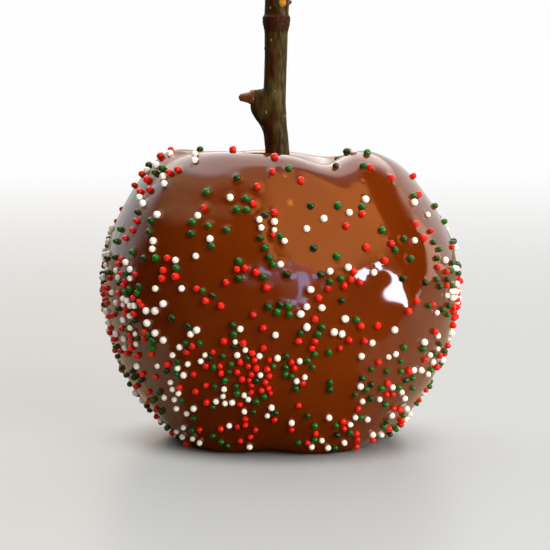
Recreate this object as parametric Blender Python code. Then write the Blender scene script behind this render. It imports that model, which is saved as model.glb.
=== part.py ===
"""A whole apple dipped in milk chocolate and scattered with nonpareils, standing on its flat foot with a twig for a stick.

Metres, +Z up. The origin is the middle of the flat foot, -Y is the front and -X the viewer's left.
Azimuths are in degrees, anticlockwise seen from above, from +X.
"""

import math

import bmesh
import bpy
import numpy as np
from mathutils import Matrix, Vector

MM = 0.001

# The coated apple's profile: its distance from a centre on the axis, by the angle down from straight up
CENTRE_HEIGHT = 34.0 * MM
PROFILE_ANGLES = (0, 11, 20, 28.5, 37, 46, 58, 72, 88, 104, 120, 134, 147, 162, 180)
PROFILE_REACHES = (22.2, 22.9, 25.6, 32.8, 39.0, 40.4, 40.2, 40.4, 40.2, 39.7, 40.2, 41.2, 41.8, 38.2, 35.8)  # mm
HIGHEST_PEARL_ANGLE = 28.0
LOWEST_PEARL_ANGLE = 150.0

# The five lobes and the uneven crown
LOBES = 5
NOTCH_AZIMUTH = 265.0  # the gap between the two front feet
NOTCH_LIFT = 2.3 * MM
BODY_LOBE = 0.45 * MM
OVAL = 0.35 * MM
SHOULDER_LOBE = 0.4 * MM
CROWN_AZIMUTHS = (0, 30, 62, 95, 128, 160, 192, 225, 262, 281, 299, 306, 316, 338)
CROWN_LIFTS = (0.25, -0.05, -1.4, -0.2, -0.6, 0.5, 0.3, 1.4, 1.4, 0.5, -0.8, 0.0, 1.3, 1.4)  # mm above the crest's height
SLOPE_AZIMUTH = 352.0  # the side where the crown slopes down to the shoulder early
SLOPE_DROP = 1.4 * MM

# Nonpareils
PEARL_COUNT = 250
PEARL_SEED = 11
PEARL_DRAWS = 12000
PEARL_RADIUS = 0.93 * MM
PEARL_SHRINK = 0.08 * MM  # the last pearl is this much smaller than the first
PEARL_SPACING = 3.2 * MM
PEARL_SUNK = 0.5  # a pearl's centre stands this share of its radius above the chocolate
PEARL_LOWEST = 1.9 * MM

# The twig: height, x, y and radius along its length
TWIG_STATIONS = np.array([
    (21.0, 1.2, 0.6, 1.60),
    (27.0, 1.0, 0.5, 2.60),
    (55.0, 0.0, 0.0, 2.85),
    (66.3, -0.7, -0.2, 2.78),
    (76.0, -1.25, -0.3, 2.60),
    (86.0, -1.0, 0.0, 2.54),
    (97.5, -0.75, 0.4, 2.75),
    (114.0, 0.3, 0.9, 2.60),
    (130.0, 1.6, 0.8, 2.45),
    (147.0, 2.5, 0.2, 2.35),
]) * MM
TWIG_SIDES = 14
TWIG_RING_STEP = 2.6 * MM
TWIG_GAP = 0.3 * MM  # between the twig and the hole it stands in
BORE_TOP = 64.0 * MM
CUT_HEIGHT = 142.0 * MM
CUT_TILT = math.radians(38)

# Swellings of the twig: its leaf nodes and the ridge under the spur
NODE_SWELLINGS = ((94.9 * MM, 0.42 * MM), (121.0 * MM, 0.38 * MM))
NODE_LENGTH = 1.7 * MM
RIDGE_FOOT = 65.0 * MM
RIDGE_TOP = 76.4 * MM
RIDGE_END = 79.5 * MM
RIDGE_HEIGHT = 2.9 * MM
RIDGE_AZIMUTH = 180.0
RIDGE_WIDTH = 34.0

# Buds: height, azimuth, distance of the base from the twig's axis, length, radius and upward tilt
SPUR_HEIGHT = 78.2 * MM
SPUR_LENGTH = 5.0 * MM
SPUR_RADIUS = 1.75 * MM
SPUR_BUD = (78.1 * MM, 180.0, 4.3 * MM, 3.9 * MM, 1.50 * MM, math.radians(6))
FRONT_BUD = (97.8 * MM, 288.0, 1.4 * MM, 3.4 * MM, 1.30 * MM, math.radians(48))
UPPER_BUD = (122.8 * MM, 60.0, 1.2 * MM, 3.4 * MM, 1.35 * MM, math.radians(52))
BUD_SIDES = 10
BUD_RINGS = 6

COAT_RING_STEP = 6.0
CROWN_RING_STEP = 3.6  # the rings lie closer over the crown's bend
CROWN_BEND = (20.4, 45.6)
COAT_SIDES = 40

CHOCOLATE_COLOUR = (0.130, 0.040, 0.012, 1.0)
BARK_COLOUR = (0.090, 0.058, 0.026, 1.0)


def clear_scene():
    for obj in list(bpy.data.objects):
        bpy.data.objects.remove(obj)


def material(name, colour, roughness):
    made = bpy.data.materials.new(name)
    made.use_nodes = True
    shader = made.node_tree.nodes["Principled BSDF"]
    shader.inputs["Base Color"].default_value = colour
    shader.inputs["Roughness"].default_value = roughness
    shader.inputs["Metallic"].default_value = 0.0
    return made


def mesh_object(name, points, faces):
    mesh = bpy.data.meshes.new(name)
    mesh.from_pydata([tuple(p) for p in points], [], faces)
    mesh.update()
    mesh.shade_smooth()
    obj = bpy.data.objects.new(name, mesh)
    bpy.context.scene.collection.objects.link(obj)
    return obj


# ---------------------------------------------------------------- the coated apple's surface


def smooth_step(low, high, value):
    share = np.clip((value - low) / (high - low), 0.0, 1.0)
    return share**3 * (10 - 15 * share + 6 * share * share)


def smooth_curve(knots, values, at):
    """The natural cubic curve through values at knots, read at the places asked for."""
    knots, values = np.asarray(knots, float), np.asarray(values, float)
    gap, rise = np.diff(knots), np.diff(values, axis=0)
    rise = rise / gap.reshape((-1,) + (1,) * (values.ndim - 1))
    system = np.eye(len(knots))
    bends = np.zeros_like(values)
    for i in range(1, len(knots) - 1):
        system[i, i - 1 : i + 2] = gap[i - 1], 2 * (gap[i - 1] + gap[i]), gap[i]
        bends[i] = 6 * (rise[i] - rise[i - 1])
    bends = np.linalg.solve(system, bends)
    i = np.clip(np.searchsorted(knots, at, side="right") - 1, 0, len(knots) - 2)
    span, near, far = gap[i], knots[i + 1] - at, at - knots[i]
    if values.ndim > 1:
        span, near, far = (np.asarray(length)[..., None] for length in (span, near, far))
    curved = (near**3 * bends[i] + far**3 * bends[i + 1]) / (6 * span)
    straight = near * (values[i] / span - bends[i] * span / 6) + far * (values[i + 1] / span - bends[i + 1] * span / 6)
    return curved + straight


def coat_profile(angle):
    """(radius, height) of the lathed profile. Mirrored stations keep it level where it meets the axis."""
    angles = np.array(PROFILE_ANGLES, float)
    knots = np.concatenate((-angles[:0:-1], angles, 360 - angles[-2::-1]))
    reaches = np.concatenate((PROFILE_REACHES[:0:-1], PROFILE_REACHES, PROFILE_REACHES[-2::-1]))
    reach = smooth_curve(knots, reaches, angle) * MM
    return reach * np.sin(np.radians(angle)), CENTRE_HEIGHT + reach * np.cos(np.radians(angle))


def crown_lift(azimuth):
    """How far the crest rises or dips at an azimuth: a closed curve through the crown's lifts."""
    around = np.array(CROWN_AZIMUTHS, float)
    knots = np.concatenate((around - 360, around, around + 360))
    return smooth_curve(knots, np.tile(CROWN_LIFTS, 3), np.mod(azimuth, 360)) * MM


def coat_surface(angle, azimuth):
    """Points on the coat. The lobes, the crown and the notches between the feet are eased in by height and radius."""
    radius, height = coat_profile(angle)
    turn = np.radians(azimuth)
    lobe = np.cos(LOBES * (turn - math.radians(NOTCH_AZIMUTH)))

    waist = smooth_step(6 * MM, 28 * MM, height) * smooth_step(0, 14 * MM, radius)
    wide = radius - BODY_LOBE * lobe * waist + OVAL * np.cos(2 * turn + 0.8) * waist
    wide = wide - SHOULDER_LOBE * np.cos(3 * turn - 0.6) * waist * smooth_step(36 * MM, 62 * MM, height)

    crown = smooth_step(54 * MM, 66.5 * MM, height) * smooth_step(3 * MM, 19 * MM, radius)
    near_foot = smooth_step(19 * MM, 0, height) * smooth_step(5 * MM, 18 * MM, radius)
    notch = ((1 + lobe) / 2) ** 1.4
    lean = ((1 + np.cos(turn - math.radians(SLOPE_AZIMUTH))) / 2) ** 2
    slope = lean * smooth_step(42 * MM, 62 * MM, height) * smooth_step(18 * MM, 28 * MM, radius)
    high = height + crown * crown_lift(azimuth) + near_foot * NOTCH_LIFT * notch - SLOPE_DROP * slope
    return np.stack((wide * np.cos(turn), wide * np.sin(turn), high), axis=-1)


def coat_normal(angle, azimuth):
    step = 0.05
    along = coat_surface(angle + step, azimuth) - coat_surface(angle - step, azimuth)
    around = coat_surface(angle, azimuth + step) - coat_surface(angle, azimuth - step)
    normal = np.cross(along, around)
    return normal / np.linalg.norm(normal, axis=-1, keepdims=True)


def coat_body():
    """The lathed coat, cut flat where it set on the table."""
    low, high = CROWN_BEND
    inside, bend = np.linspace(6.8, low, 3)[:-1], np.arange(low, high, CROWN_RING_STEP)
    angles = np.concatenate((inside, bend, np.arange(high, 179.0, COAT_RING_STEP)))
    azimuths = np.arange(COAT_SIDES) * 360.0 / COAT_SIDES
    points = list(coat_surface(*np.meshgrid(angles, azimuths, indexing="ij")).reshape(-1, 3))
    points.append(coat_surface(0.0, 0.0))
    points.append(coat_surface(180.0, 0.0))
    top, bottom = len(points) - 2, len(points) - 1
    faces = []
    for side in range(COAT_SIDES):
        after = (side + 1) % COAT_SIDES
        faces.append((top, side, after))
        for row in range(len(angles) - 1):
            here, below = row * COAT_SIDES, (row + 1) * COAT_SIDES
            faces.append((here + side, below + side, below + after, here + after))
        last = (len(angles) - 1) * COAT_SIDES
        faces.append((last + side, bottom, last + after))
    body = mesh_object("coated_apple", points, faces)
    shape = bmesh.new()
    shape.from_mesh(body.data)
    everything = shape.verts[:] + shape.edges[:] + shape.faces[:]
    cut = bmesh.ops.bisect_plane(
        shape, geom=everything, plane_co=(0, 0, 0), plane_no=(0, 0, -1), clear_outer=True
    )
    rim = [e for e in cut["geom_cut"] if isinstance(e, bmesh.types.BMEdge)]
    bmesh.ops.holes_fill(shape, edges=rim, sides=0)
    bmesh.ops.recalc_face_normals(shape, faces=shape.faces[:])
    shape.to_mesh(body.data)
    shape.free()
    return body


# ---------------------------------------------------------------- nonpareils


def pearl_density(azimuth, height, radius):
    """How thickly the pearls lie: thin on the upper front, none in the hollow, thick low on the sides."""
    low_side = smooth_step(66 * MM, 30 * MM, height)
    front = np.cos(np.radians(azimuth - 275.0))
    bare_front = smooth_step(0.2, 1.0, front) * smooth_step(26 * MM, 52 * MM, height)
    outside_hollow = smooth_step(17 * MM, 25 * MM, radius)
    return outside_hollow * (0.45 + 0.55 * low_side) * (1 - 0.6 * bare_front)


def pearl_places(count, seed):
    """Centres and radii, the largest first. Each draw is one place on the coat, kept if no earlier pearl is close."""
    draw = np.random.default_rng(seed)
    angle = draw.uniform(HIGHEST_PEARL_ANGLE, LOWEST_PEARL_ANGLE, PEARL_DRAWS)
    azimuth = draw.uniform(0, 360, PEARL_DRAWS)
    luck = draw.uniform(0, 1, PEARL_DRAWS)
    radius, height = coat_profile(angle)
    step = np.hypot(*np.subtract(coat_profile(angle + 0.1), coat_profile(angle - 0.1)))
    area = radius * step
    chance = area / area.max() * pearl_density(azimuth, height, radius)
    places = coat_surface(angle, azimuth)
    normals = coat_normal(angle, azimuth)
    kept = []
    for i in np.flatnonzero(luck < chance):
        if places[i, 2] < PEARL_LOWEST:
            continue
        if kept and np.linalg.norm(places[kept] - places[i], axis=1).min() < PEARL_SPACING:
            continue
        kept.append(i)
        if len(kept) == count:
            break
    sizes = PEARL_RADIUS - PEARL_SHRINK * np.arange(len(kept)) / count
    return places[kept] + normals[kept] * (PEARL_SUNK * sizes)[:, None], normals[kept], sizes


def pearl_mesh():
    """One faceted sphere of radius 1, shared by every pearl."""
    mesh = bpy.data.meshes.new("pearl")
    shape = bmesh.new()
    bmesh.ops.create_icosphere(shape, subdivisions=1, radius=1.0)
    shape.to_mesh(mesh)
    shape.free()
    return mesh


def fuse_pearls(body):
    pearls = bpy.data.collections.new("pearls")
    bpy.context.scene.collection.children.link(pearls)
    shared = pearl_mesh()
    for centre, normal, size in zip(*pearl_places(PEARL_COUNT, PEARL_SEED)):
        pearl = bpy.data.objects.new("pearl", shared)
        facing = Vector(normal).to_track_quat("Z", "Y").to_matrix().to_4x4()
        pearl.matrix_world = Matrix.Translation(Vector(centre)) @ facing @ Matrix.Scale(size, 4)
        pearls.objects.link(pearl)
    union = body.modifiers.new("pearls", "BOOLEAN")
    union.operation = "UNION"
    union.operand_type = "COLLECTION"
    union.collection = pearls
    apply_modifiers(body)
    for pearl in list(pearls.objects):
        bpy.data.objects.remove(pearl)
    bpy.data.collections.remove(pearls)


def apply_modifiers(obj):
    bpy.context.view_layer.update()
    graph = bpy.context.evaluated_depsgraph_get()
    made = bpy.data.meshes.new_from_object(obj.evaluated_get(graph))
    obj.modifiers.clear()
    obj.data = made


# ---------------------------------------------------------------- the twig


def twig_station(height):
    """(x, y, radius) of the twig at a height."""
    return smooth_curve(TWIG_STATIONS[:, 0], TWIG_STATIONS[:, 1:], height)


def twig_swelling(height, azimuth):
    """What the leaf nodes and the ridge under the spur add to the twig's radius."""
    swelling = sum(add * math.exp(-(((height - at) / NODE_LENGTH) ** 2)) for at, add in NODE_SWELLINGS)
    rise = smooth_step(RIDGE_FOOT, RIDGE_TOP, height) ** 3
    fall = smooth_step(RIDGE_END, RIDGE_TOP, height)
    off_ridge = (azimuth - RIDGE_AZIMUTH + 180) % 360 - 180
    return swelling + RIDGE_HEIGHT * rise * fall * math.exp(-((off_ridge / RIDGE_WIDTH) ** 2))


def tube(name, heights, widening):
    """A closed loft up the twig's line. widening gives what is added to its radius at a height and azimuth."""
    points, faces = [], []
    for height in heights:
        x, y, radius = twig_station(height)
        for side in range(TWIG_SIDES):
            azimuth = 360.0 * side / TWIG_SIDES
            reach = radius + widening(height, azimuth)
            turn = math.radians(azimuth)
            points.append((x + reach * math.cos(turn), y + reach * math.sin(turn), height))
    for row in range(len(heights) - 1):
        for side in range(TWIG_SIDES):
            here, above = row * TWIG_SIDES, (row + 1) * TWIG_SIDES
            after = (side + 1) % TWIG_SIDES
            faces.append((here + side, here + after, above + after, above + side))
    last = (len(heights) - 1) * TWIG_SIDES
    faces.append(tuple(reversed(range(TWIG_SIDES))))
    faces.append(tuple(last + side for side in range(TWIG_SIDES)))
    return mesh_object(name, points, faces)


def bud(name, height, azimuth, start, length, radius, tilt):
    """A pointed egg that leans out of the twig."""
    points, faces = [(0, 0, 0)], []
    for ring in range(1, BUD_RINGS):
        t = ring / BUD_RINGS
        reach = radius * math.sin(math.pi * t**0.8) ** 0.75
        for side in range(BUD_SIDES):
            turn = 2 * math.pi * side / BUD_SIDES
            points.append((reach * math.cos(turn), reach * math.sin(turn), length * t))
    points.append((0, 0, length))
    for side in range(BUD_SIDES):
        after = (side + 1) % BUD_SIDES
        faces.append((0, 1 + after, 1 + side))
        for ring in range(BUD_RINGS - 2):
            here, above = 1 + ring * BUD_SIDES, 1 + (ring + 1) * BUD_SIDES
            faces.append((here + side, here + after, above + after, above + side))
        last = 1 + (BUD_RINGS - 2) * BUD_SIDES
        faces.append((last + side, last + after, len(points) - 1))
    return place_on_twig(mesh_object(name, points, faces), height, azimuth, start, tilt)


def spur_stub():
    """The short shoot that the left bud sits on: a stout stub with a raised collar."""
    mesh = bpy.data.meshes.new("spur_stub")
    shape = bmesh.new()
    bmesh.ops.create_cone(
        shape,
        cap_ends=True,
        segments=12,
        radius1=SPUR_RADIUS * 1.12,
        radius2=SPUR_RADIUS * 0.82,
        depth=SPUR_LENGTH,
        matrix=Matrix.Translation((0, 0, SPUR_LENGTH / 2)),
    )
    shape.to_mesh(mesh)
    shape.free()
    stub = bpy.data.objects.new("spur_stub", mesh)
    bpy.context.scene.collection.objects.link(stub)
    return place_on_twig(stub, SPUR_HEIGHT, RIDGE_AZIMUTH, 0.0, 0.0)


def place_on_twig(obj, height, azimuth, start, tilt):
    x, y, _ = twig_station(height)
    turn = math.radians(azimuth)
    out = Vector((math.cos(turn) * math.cos(tilt), math.sin(turn) * math.cos(tilt), math.sin(tilt)))
    foot = Vector((x, y, height)) + out * start
    obj.matrix_world = Matrix.Translation(foot) @ out.to_track_quat("Z", "Y").to_matrix().to_4x4()
    return obj


def cut_twig_end(twig):
    """The slanting cut across the twig's top end."""
    x, y, _ = twig_station(CUT_HEIGHT)
    shape = bmesh.new()
    shape.from_mesh(twig.data)
    everything = shape.verts[:] + shape.edges[:] + shape.faces[:]
    facing = (math.sin(CUT_TILT), 0, math.cos(CUT_TILT))
    cut = bmesh.ops.bisect_plane(
        shape, geom=everything, plane_co=(x, y, CUT_HEIGHT), plane_no=facing, clear_outer=True
    )
    rim = [e for e in cut["geom_cut"] if isinstance(e, bmesh.types.BMEdge)]
    bmesh.ops.holes_fill(shape, edges=rim, sides=0)
    shape.to_mesh(twig.data)
    shape.free()


def make_twig():
    low, high = TWIG_STATIONS[0, 0], TWIG_STATIONS[-1, 0]
    heights = np.linspace(low, high, int(round((high - low) / TWIG_RING_STEP)) + 1)
    twig = tube("twig", heights, twig_swelling)
    cut_twig_end(twig)
    grown = bpy.data.collections.new("buds")
    bpy.context.scene.collection.children.link(grown)
    pieces = [spur_stub(), bud("spur_bud", *SPUR_BUD), bud("front_bud", *FRONT_BUD), bud("upper_bud", *UPPER_BUD)]
    for piece in pieces:
        grown.objects.link(piece)
    union = twig.modifiers.new("buds", "BOOLEAN")
    union.operation = "UNION"
    union.operand_type = "COLLECTION"
    union.collection = grown
    apply_modifiers(twig)
    for piece in pieces:
        bpy.data.objects.remove(piece)
    bpy.data.collections.remove(grown)
    return twig


def bore_for_twig(body):
    """The hole that the twig was pushed into, cut with a slightly wider copy of its lower end."""
    heights = np.append(np.arange(TWIG_STATIONS[0, 0], BORE_TOP, 4 * MM), BORE_TOP)
    cutter = tube("twig_bore", heights, lambda height, azimuth: TWIG_GAP * 1.15)
    for vertex in cutter.data.vertices[:TWIG_SIDES]:
        vertex.co.z -= TWIG_GAP
    cutter.hide_render = True
    cutter.display_type = "WIRE"
    cut = body.modifiers.new("twig_bore", "BOOLEAN")
    cut.operation = "DIFFERENCE"
    cut.object = cutter


def main():
    clear_scene()
    chocolate = material("milk_chocolate", CHOCOLATE_COLOUR, 0.12)
    bark = material("twig_bark", BARK_COLOUR, 0.7)
    apple = coat_body()
    fuse_pearls(apple)
    bore_for_twig(apple)
    twig = make_twig()
    for obj, finish in ((apple, chocolate), (twig, bark)):
        obj.data.materials.clear()
        obj.data.materials.append(finish)
        obj.data.shade_smooth()
        obj.data.set_sharp_from_angle(angle=math.radians(40))


main()
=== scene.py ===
# %% [markdown]
# # A chocolate covered apple
#
# A whole apple is pushed onto a twig, dipped in melted milk chocolate and sprinkled with nonpareils, which
# are round sugar pearls, while the chocolate is wet. It then sets on a flat foot. This notebook gives the
# measured solids their looks: a glossy coat with soft unevenness, about thirteen hundred pearls in three
# colours, and a twig with bark and buds.
#
# The frame is loaded first. It holds the measured solids, and each piece below stands in the place of one of
# them.

# %% Load the frame
import math

import bmesh
import bpy
import numpy as np
from mathutils import Matrix, Vector
from mathutils.bvhtree import BVHTree


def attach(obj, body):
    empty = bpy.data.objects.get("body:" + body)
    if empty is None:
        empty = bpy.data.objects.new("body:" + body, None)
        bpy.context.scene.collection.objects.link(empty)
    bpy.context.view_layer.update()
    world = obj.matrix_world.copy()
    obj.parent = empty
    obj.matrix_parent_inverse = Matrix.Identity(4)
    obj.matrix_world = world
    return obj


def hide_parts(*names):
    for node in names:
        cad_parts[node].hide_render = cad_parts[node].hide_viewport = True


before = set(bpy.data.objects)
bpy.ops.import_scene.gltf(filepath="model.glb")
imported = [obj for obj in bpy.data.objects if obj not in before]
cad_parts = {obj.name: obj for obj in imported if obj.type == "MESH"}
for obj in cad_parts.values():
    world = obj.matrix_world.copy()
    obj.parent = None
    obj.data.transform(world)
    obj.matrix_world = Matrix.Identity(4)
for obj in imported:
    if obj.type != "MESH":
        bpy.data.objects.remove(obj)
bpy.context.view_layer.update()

# %% [markdown]
# ## Small helpers
#
# Lengths are written in millimetres and turned to Blender's metres by MM. Colours are sRGB hex values, as a
# colour picker gives them, while Blender's shaders want linear light, so one function turns them. Two more
# functions build node trees: one adds a node with its settings and links, and one runs a Geometry Nodes tree
# on an object and keeps the result as a plain mesh. Most shapes here are skins whose points go round in
# rows, so one more gives their faces.

# %% Units, colours, nodes
MM = 0.001


def paint(hex_colour):
    """An sRGB hex colour as linear RGBA."""
    parts = np.array([int(hex_colour[i : i + 2], 16) for i in (1, 3, 5)]) / 255
    linear = np.where(parts <= 0.04045, parts / 12.92, ((parts + 0.055) / 1.055) ** 2.4)
    return (*(float(part) for part in linear), 1.0)


def feed(node, *values):
    """Sets or links inputs, by order or by name in a dictionary. A node stands for its first output."""
    inputs = dict(enumerate(value for value in values if not isinstance(value, dict)))
    for named in values:
        inputs.update(named if isinstance(named, dict) else {})
    for place, value in inputs.items():
        value = value.outputs[0] if isinstance(value, bpy.types.Node) else value
        if isinstance(value, bpy.types.NodeSocket):
            node.id_data.links.new(value, node.inputs[place])
        else:
            node.inputs[place].default_value = value


def add(tree, kind, *values, **settings):
    """Adds a node with its inputs and settings. Its kind is written without prefix, then its operation."""
    kind, *operation = kind.split()
    prefixes = (tree.bl_idname.removesuffix("Tree"), "FunctionNode", "ShaderNode", "Node")
    made = tree.nodes.new(next(start + kind for start in prefixes if hasattr(bpy.types, start + kind)))
    for name, value in settings.items():
        setattr(made, name, value)
    if operation:
        made.operation = operation[0]
    feed(made, *values)
    return made


def geometry_tree(name, **inputs):
    """A Geometry Nodes tree with named inputs. Gives the tree, the inputs' sockets and their identifiers."""
    tree = bpy.data.node_groups.new(name, "GeometryNodeTree")
    for way in ("INPUT", "OUTPUT"):
        tree.interface.new_socket("Geometry", in_out=way, socket_type="NodeSocketGeometry")
    identifiers = {}
    for label, kind in inputs.items():
        title = label.replace("_", " ").capitalize()
        item = tree.interface.new_socket(title, in_out="INPUT", socket_type=f"NodeSocket{kind}")
        identifiers[label] = item.identifier
    return tree, tree.nodes.new("NodeGroupInput").outputs, identifiers


def close_tree(tree, geometry, material):
    """Ends a tree in Realize Instances, smooth shading and Set Material."""
    solid = add(tree, "RealizeInstances", {"Geometry": geometry})
    smooth = add(tree, "SetShadeSmooth", {"Geometry": solid})
    dressed = add(tree, "SetMaterial", {"Geometry": smooth, "Material": material})
    add(tree, "GroupOutput", dressed)


def run_tree(obj, tree, identifiers, **values):
    """Runs a tree on an object and keeps what it makes as the object's plain mesh."""
    modifier = obj.modifiers.new(tree.name, "NODES")
    modifier.node_group = tree
    for label, value in values.items():
        modifier[identifiers[label]] = value
    bpy.context.view_layer.update()
    graph = bpy.context.evaluated_depsgraph_get()
    made = bpy.data.meshes.new_from_object(obj.evaluated_get(graph))
    obj.modifiers.remove(modifier)
    obj.data = made
    made.name = obj.name


def show(name, data):
    """Puts a new object with this data into the scene."""
    made = bpy.data.objects.new(name, data)
    bpy.context.scene.collection.objects.link(made)
    return made


def skin_faces(rows, sides, ends=None, first=0, flipped=False):
    """Faces of a skin whose rows of points go round it. Its ends, if any, are the points that close it."""
    faces, last = [], first + (rows - 1) * sides
    for side in range(sides):
        after = (side + 1) % sides
        rows_here = range(first, last, sides)
        strip = [(row + side, row + sides + side, row + sides + after, row + after) for row in rows_here]
        if ends:
            strip = [(ends[0], first + side, first + after), *strip, (last + side, ends[1], last + after)]
        faces += [(face[0], *face[:0:-1]) for face in strip] if flipped else strip
    return faces


def mesh_object(name, points, faces, **attributes):
    """An object from points and faces. Attributes are one number for each point."""
    mesh = bpy.data.meshes.new(name)
    mesh.from_pydata(np.asarray(points).tolist(), [], faces)
    mesh.shade_smooth()
    for label, values in attributes.items():
        column = mesh.attributes.new(label, "FLOAT", "POINT")
        column.data.foreach_set("value", np.asarray(values, np.float32))
    return show(name, mesh)


def count(obj):
    """Prints an object's size in triangles."""
    obj.data.calc_loop_triangles()
    print(f"{obj.name}: {len(obj.data.loop_triangles)} triangles")


# %% [markdown]
# ## The camera
#
# The photograph is a close portrait from just above the crown's height. A long lens half a metre away gives
# its flat perspective. The pitch and the yaw put the apple's foot and axis on the same pixels as in the
# photograph, which is 550 pixels wide.

# %% Camera
PHOTO_SIDE = 550
FOCAL_PIXELS = 2420
SENSOR = 36.0
AXIS_PIXEL = 280.0
CAMERA_PLACE = (0.0, -0.55, 0.094)
CAMERA_PITCH = math.radians(5.87)

view = bpy.data.cameras.new("camera")
view.sensor_width = SENSOR
view.lens = SENSOR * FOCAL_PIXELS / PHOTO_SIDE
view.clip_start = 0.05
camera = show("camera", view)
yaw = math.atan((AXIS_PIXEL - PHOTO_SIDE / 2) / FOCAL_PIXELS)
camera.location = CAMERA_PLACE
camera.rotation_euler = (math.radians(90) - CAMERA_PITCH, 0, yaw)
bpy.context.scene.camera = camera
TURNED = Matrix.Rotation(yaw, 3, "Z") @ Matrix.Rotation(math.radians(90) - CAMERA_PITCH, 3, "X")
print("lens", round(view.lens, 1), "mm")

# %% [markdown]
# ## The coat's surface
#
# Seen from its middle, a dipped apple is nearly a ball: the distance from a centre on the axis to the coat
# hardly changes, apart from the stalk hollow at the top. So the surface is that distance, read from a smooth
# curve over the angle down from straight up, and turned about the axis. Five soft lobes, an uneven crown and
# the notches between the feet are then eased in. A cubic curve with even curvature matters here, because a
# glossy surface shows each kink as a bent reflection.

# %% Profile, crown and lobes
CENTRE_HEIGHT = 34.0 * MM
PROFILE_ANGLES = (0, 11, 20, 28.5, 37, 46, 58, 72, 88, 104, 120, 134, 147, 162, 180)
PROFILE_REACHES = (  # mm
    22.2, 22.9, 25.6, 32.8, 39.0, 40.4, 40.2, 40.4, 40.2, 39.7, 40.2, 41.2, 41.8, 38.2, 35.8
)
LOBES = 5
NOTCH_AZIMUTH = 265.0  # the gap between the two front feet
NOTCH_LIFT = 2.3 * MM
BODY_LOBE = 0.45 * MM
OVAL = 0.35 * MM
SHOULDER_LOBE = 0.4 * MM
CROWN_AZIMUTHS = (0, 30, 62, 95, 128, 160, 192, 225, 262, 281, 299, 306, 316, 338)
CROWN_LIFTS = (0.25, -0.05, -1.4, -0.2, -0.6, 0.5, 0.3, 1.4, 1.4, 0.5, -0.8, 0.0, 1.3, 1.4)  # mm
SLOPE_AZIMUTH = 352.0  # the side where the crown slopes down to the shoulder early
SLOPE_DROP = 1.4 * MM
OVAL_TURN = 0.8  # radians
SHOULDER_TURN = 0.6
NOTCH_SHARPNESS = 1.4
# Heights and radii between which each form eases in
WAIST_HEIGHTS, WAIST_RADII = (6 * MM, 28 * MM), (0, 14 * MM)
SHOULDER_HEIGHTS = (36 * MM, 62 * MM)
CROWN_HEIGHTS, CROWN_RADII = (54 * MM, 66.5 * MM), (3 * MM, 19 * MM)
FOOT_HEIGHTS, FOOT_RADII = (19 * MM, 0), (5 * MM, 18 * MM)
SLOPE_HEIGHTS, SLOPE_RADII = (42 * MM, 62 * MM), (18 * MM, 28 * MM)


def smooth_step(low, high, value):
    """A share that eases from 0 at low to 1 at high."""
    share = np.clip((value - low) / (high - low), 0.0, 1.0)
    return share**3 * (10 - 15 * share + 6 * share * share)


def smooth_curve(knots, values, at):
    """The natural cubic curve through values at knots, read at the places asked for."""
    knots, values = np.asarray(knots, float), np.asarray(values, float)
    gap, rise = np.diff(knots), np.diff(values, axis=0)
    rise = rise / gap.reshape((-1,) + (1,) * (values.ndim - 1))
    system = np.eye(len(knots))
    bends = np.zeros_like(values)
    for i in range(1, len(knots) - 1):
        system[i, i - 1 : i + 2] = gap[i - 1], 2 * (gap[i - 1] + gap[i]), gap[i]
        bends[i] = 6 * (rise[i] - rise[i - 1])
    bends = np.linalg.solve(system, bends)
    i = np.clip(np.searchsorted(knots, at, side="right") - 1, 0, len(knots) - 2)
    span, near, far = gap[i], knots[i + 1] - at, at - knots[i]
    if values.ndim > 1:
        span, near, far = (np.asarray(length)[..., None] for length in (span, near, far))
    curved = (near**3 * bends[i] + far**3 * bends[i + 1]) / (6 * span)
    from_near = near * (values[i] / span - bends[i] * span / 6)
    from_far = far * (values[i + 1] / span - bends[i + 1] * span / 6)
    return curved + (from_near + from_far)


def coat_profile(angle):
    """(radius, height) of the lathed profile. Mirrored stations keep it level where it meets the axis."""
    angles = np.array(PROFILE_ANGLES, float)
    knots = np.concatenate((-angles[:0:-1], angles, 360 - angles[-2::-1]))
    reaches = np.concatenate((PROFILE_REACHES[:0:-1], PROFILE_REACHES, PROFILE_REACHES[-2::-1]))
    reach = smooth_curve(knots, reaches, angle) * MM
    return reach * np.sin(np.radians(angle)), CENTRE_HEIGHT + reach * np.cos(np.radians(angle))


def crown_lift(azimuth):
    """How far the crest rises or dips at an azimuth: a closed curve through the crown's lifts."""
    around = np.array(CROWN_AZIMUTHS, float)
    knots = np.concatenate((around - 360, around, around + 360))
    return smooth_curve(knots, np.tile(CROWN_LIFTS, 3), np.mod(azimuth, 360)) * MM


def coat_surface(angle, azimuth):
    """Points on the coat. Lobes, crown and notches are eased in by height and radius."""
    radius, height = coat_profile(angle)
    turn = np.radians(azimuth)
    lobe = np.cos(LOBES * (turn - math.radians(NOTCH_AZIMUTH)))

    waist = smooth_step(*WAIST_HEIGHTS, height) * smooth_step(*WAIST_RADII, radius)
    wide = radius - BODY_LOBE * lobe * waist + OVAL * np.cos(2 * turn + OVAL_TURN) * waist
    shoulder = np.cos(3 * turn - SHOULDER_TURN) * waist * smooth_step(*SHOULDER_HEIGHTS, height)
    wide = wide - SHOULDER_LOBE * shoulder

    crown = smooth_step(*CROWN_HEIGHTS, height) * smooth_step(*CROWN_RADII, radius)
    near_foot = smooth_step(*FOOT_HEIGHTS, height) * smooth_step(*FOOT_RADII, radius)
    notch = ((1 + lobe) / 2) ** NOTCH_SHARPNESS
    lean = ((1 + np.cos(turn - math.radians(SLOPE_AZIMUTH))) / 2) ** 2
    slope = lean * smooth_step(*SLOPE_HEIGHTS, height) * smooth_step(*SLOPE_RADII, radius)
    high = height + crown * crown_lift(azimuth) + near_foot * NOTCH_LIFT * notch - SLOPE_DROP * slope
    return np.stack((wide * np.cos(turn), wide * np.sin(turn), high), axis=-1)


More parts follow.
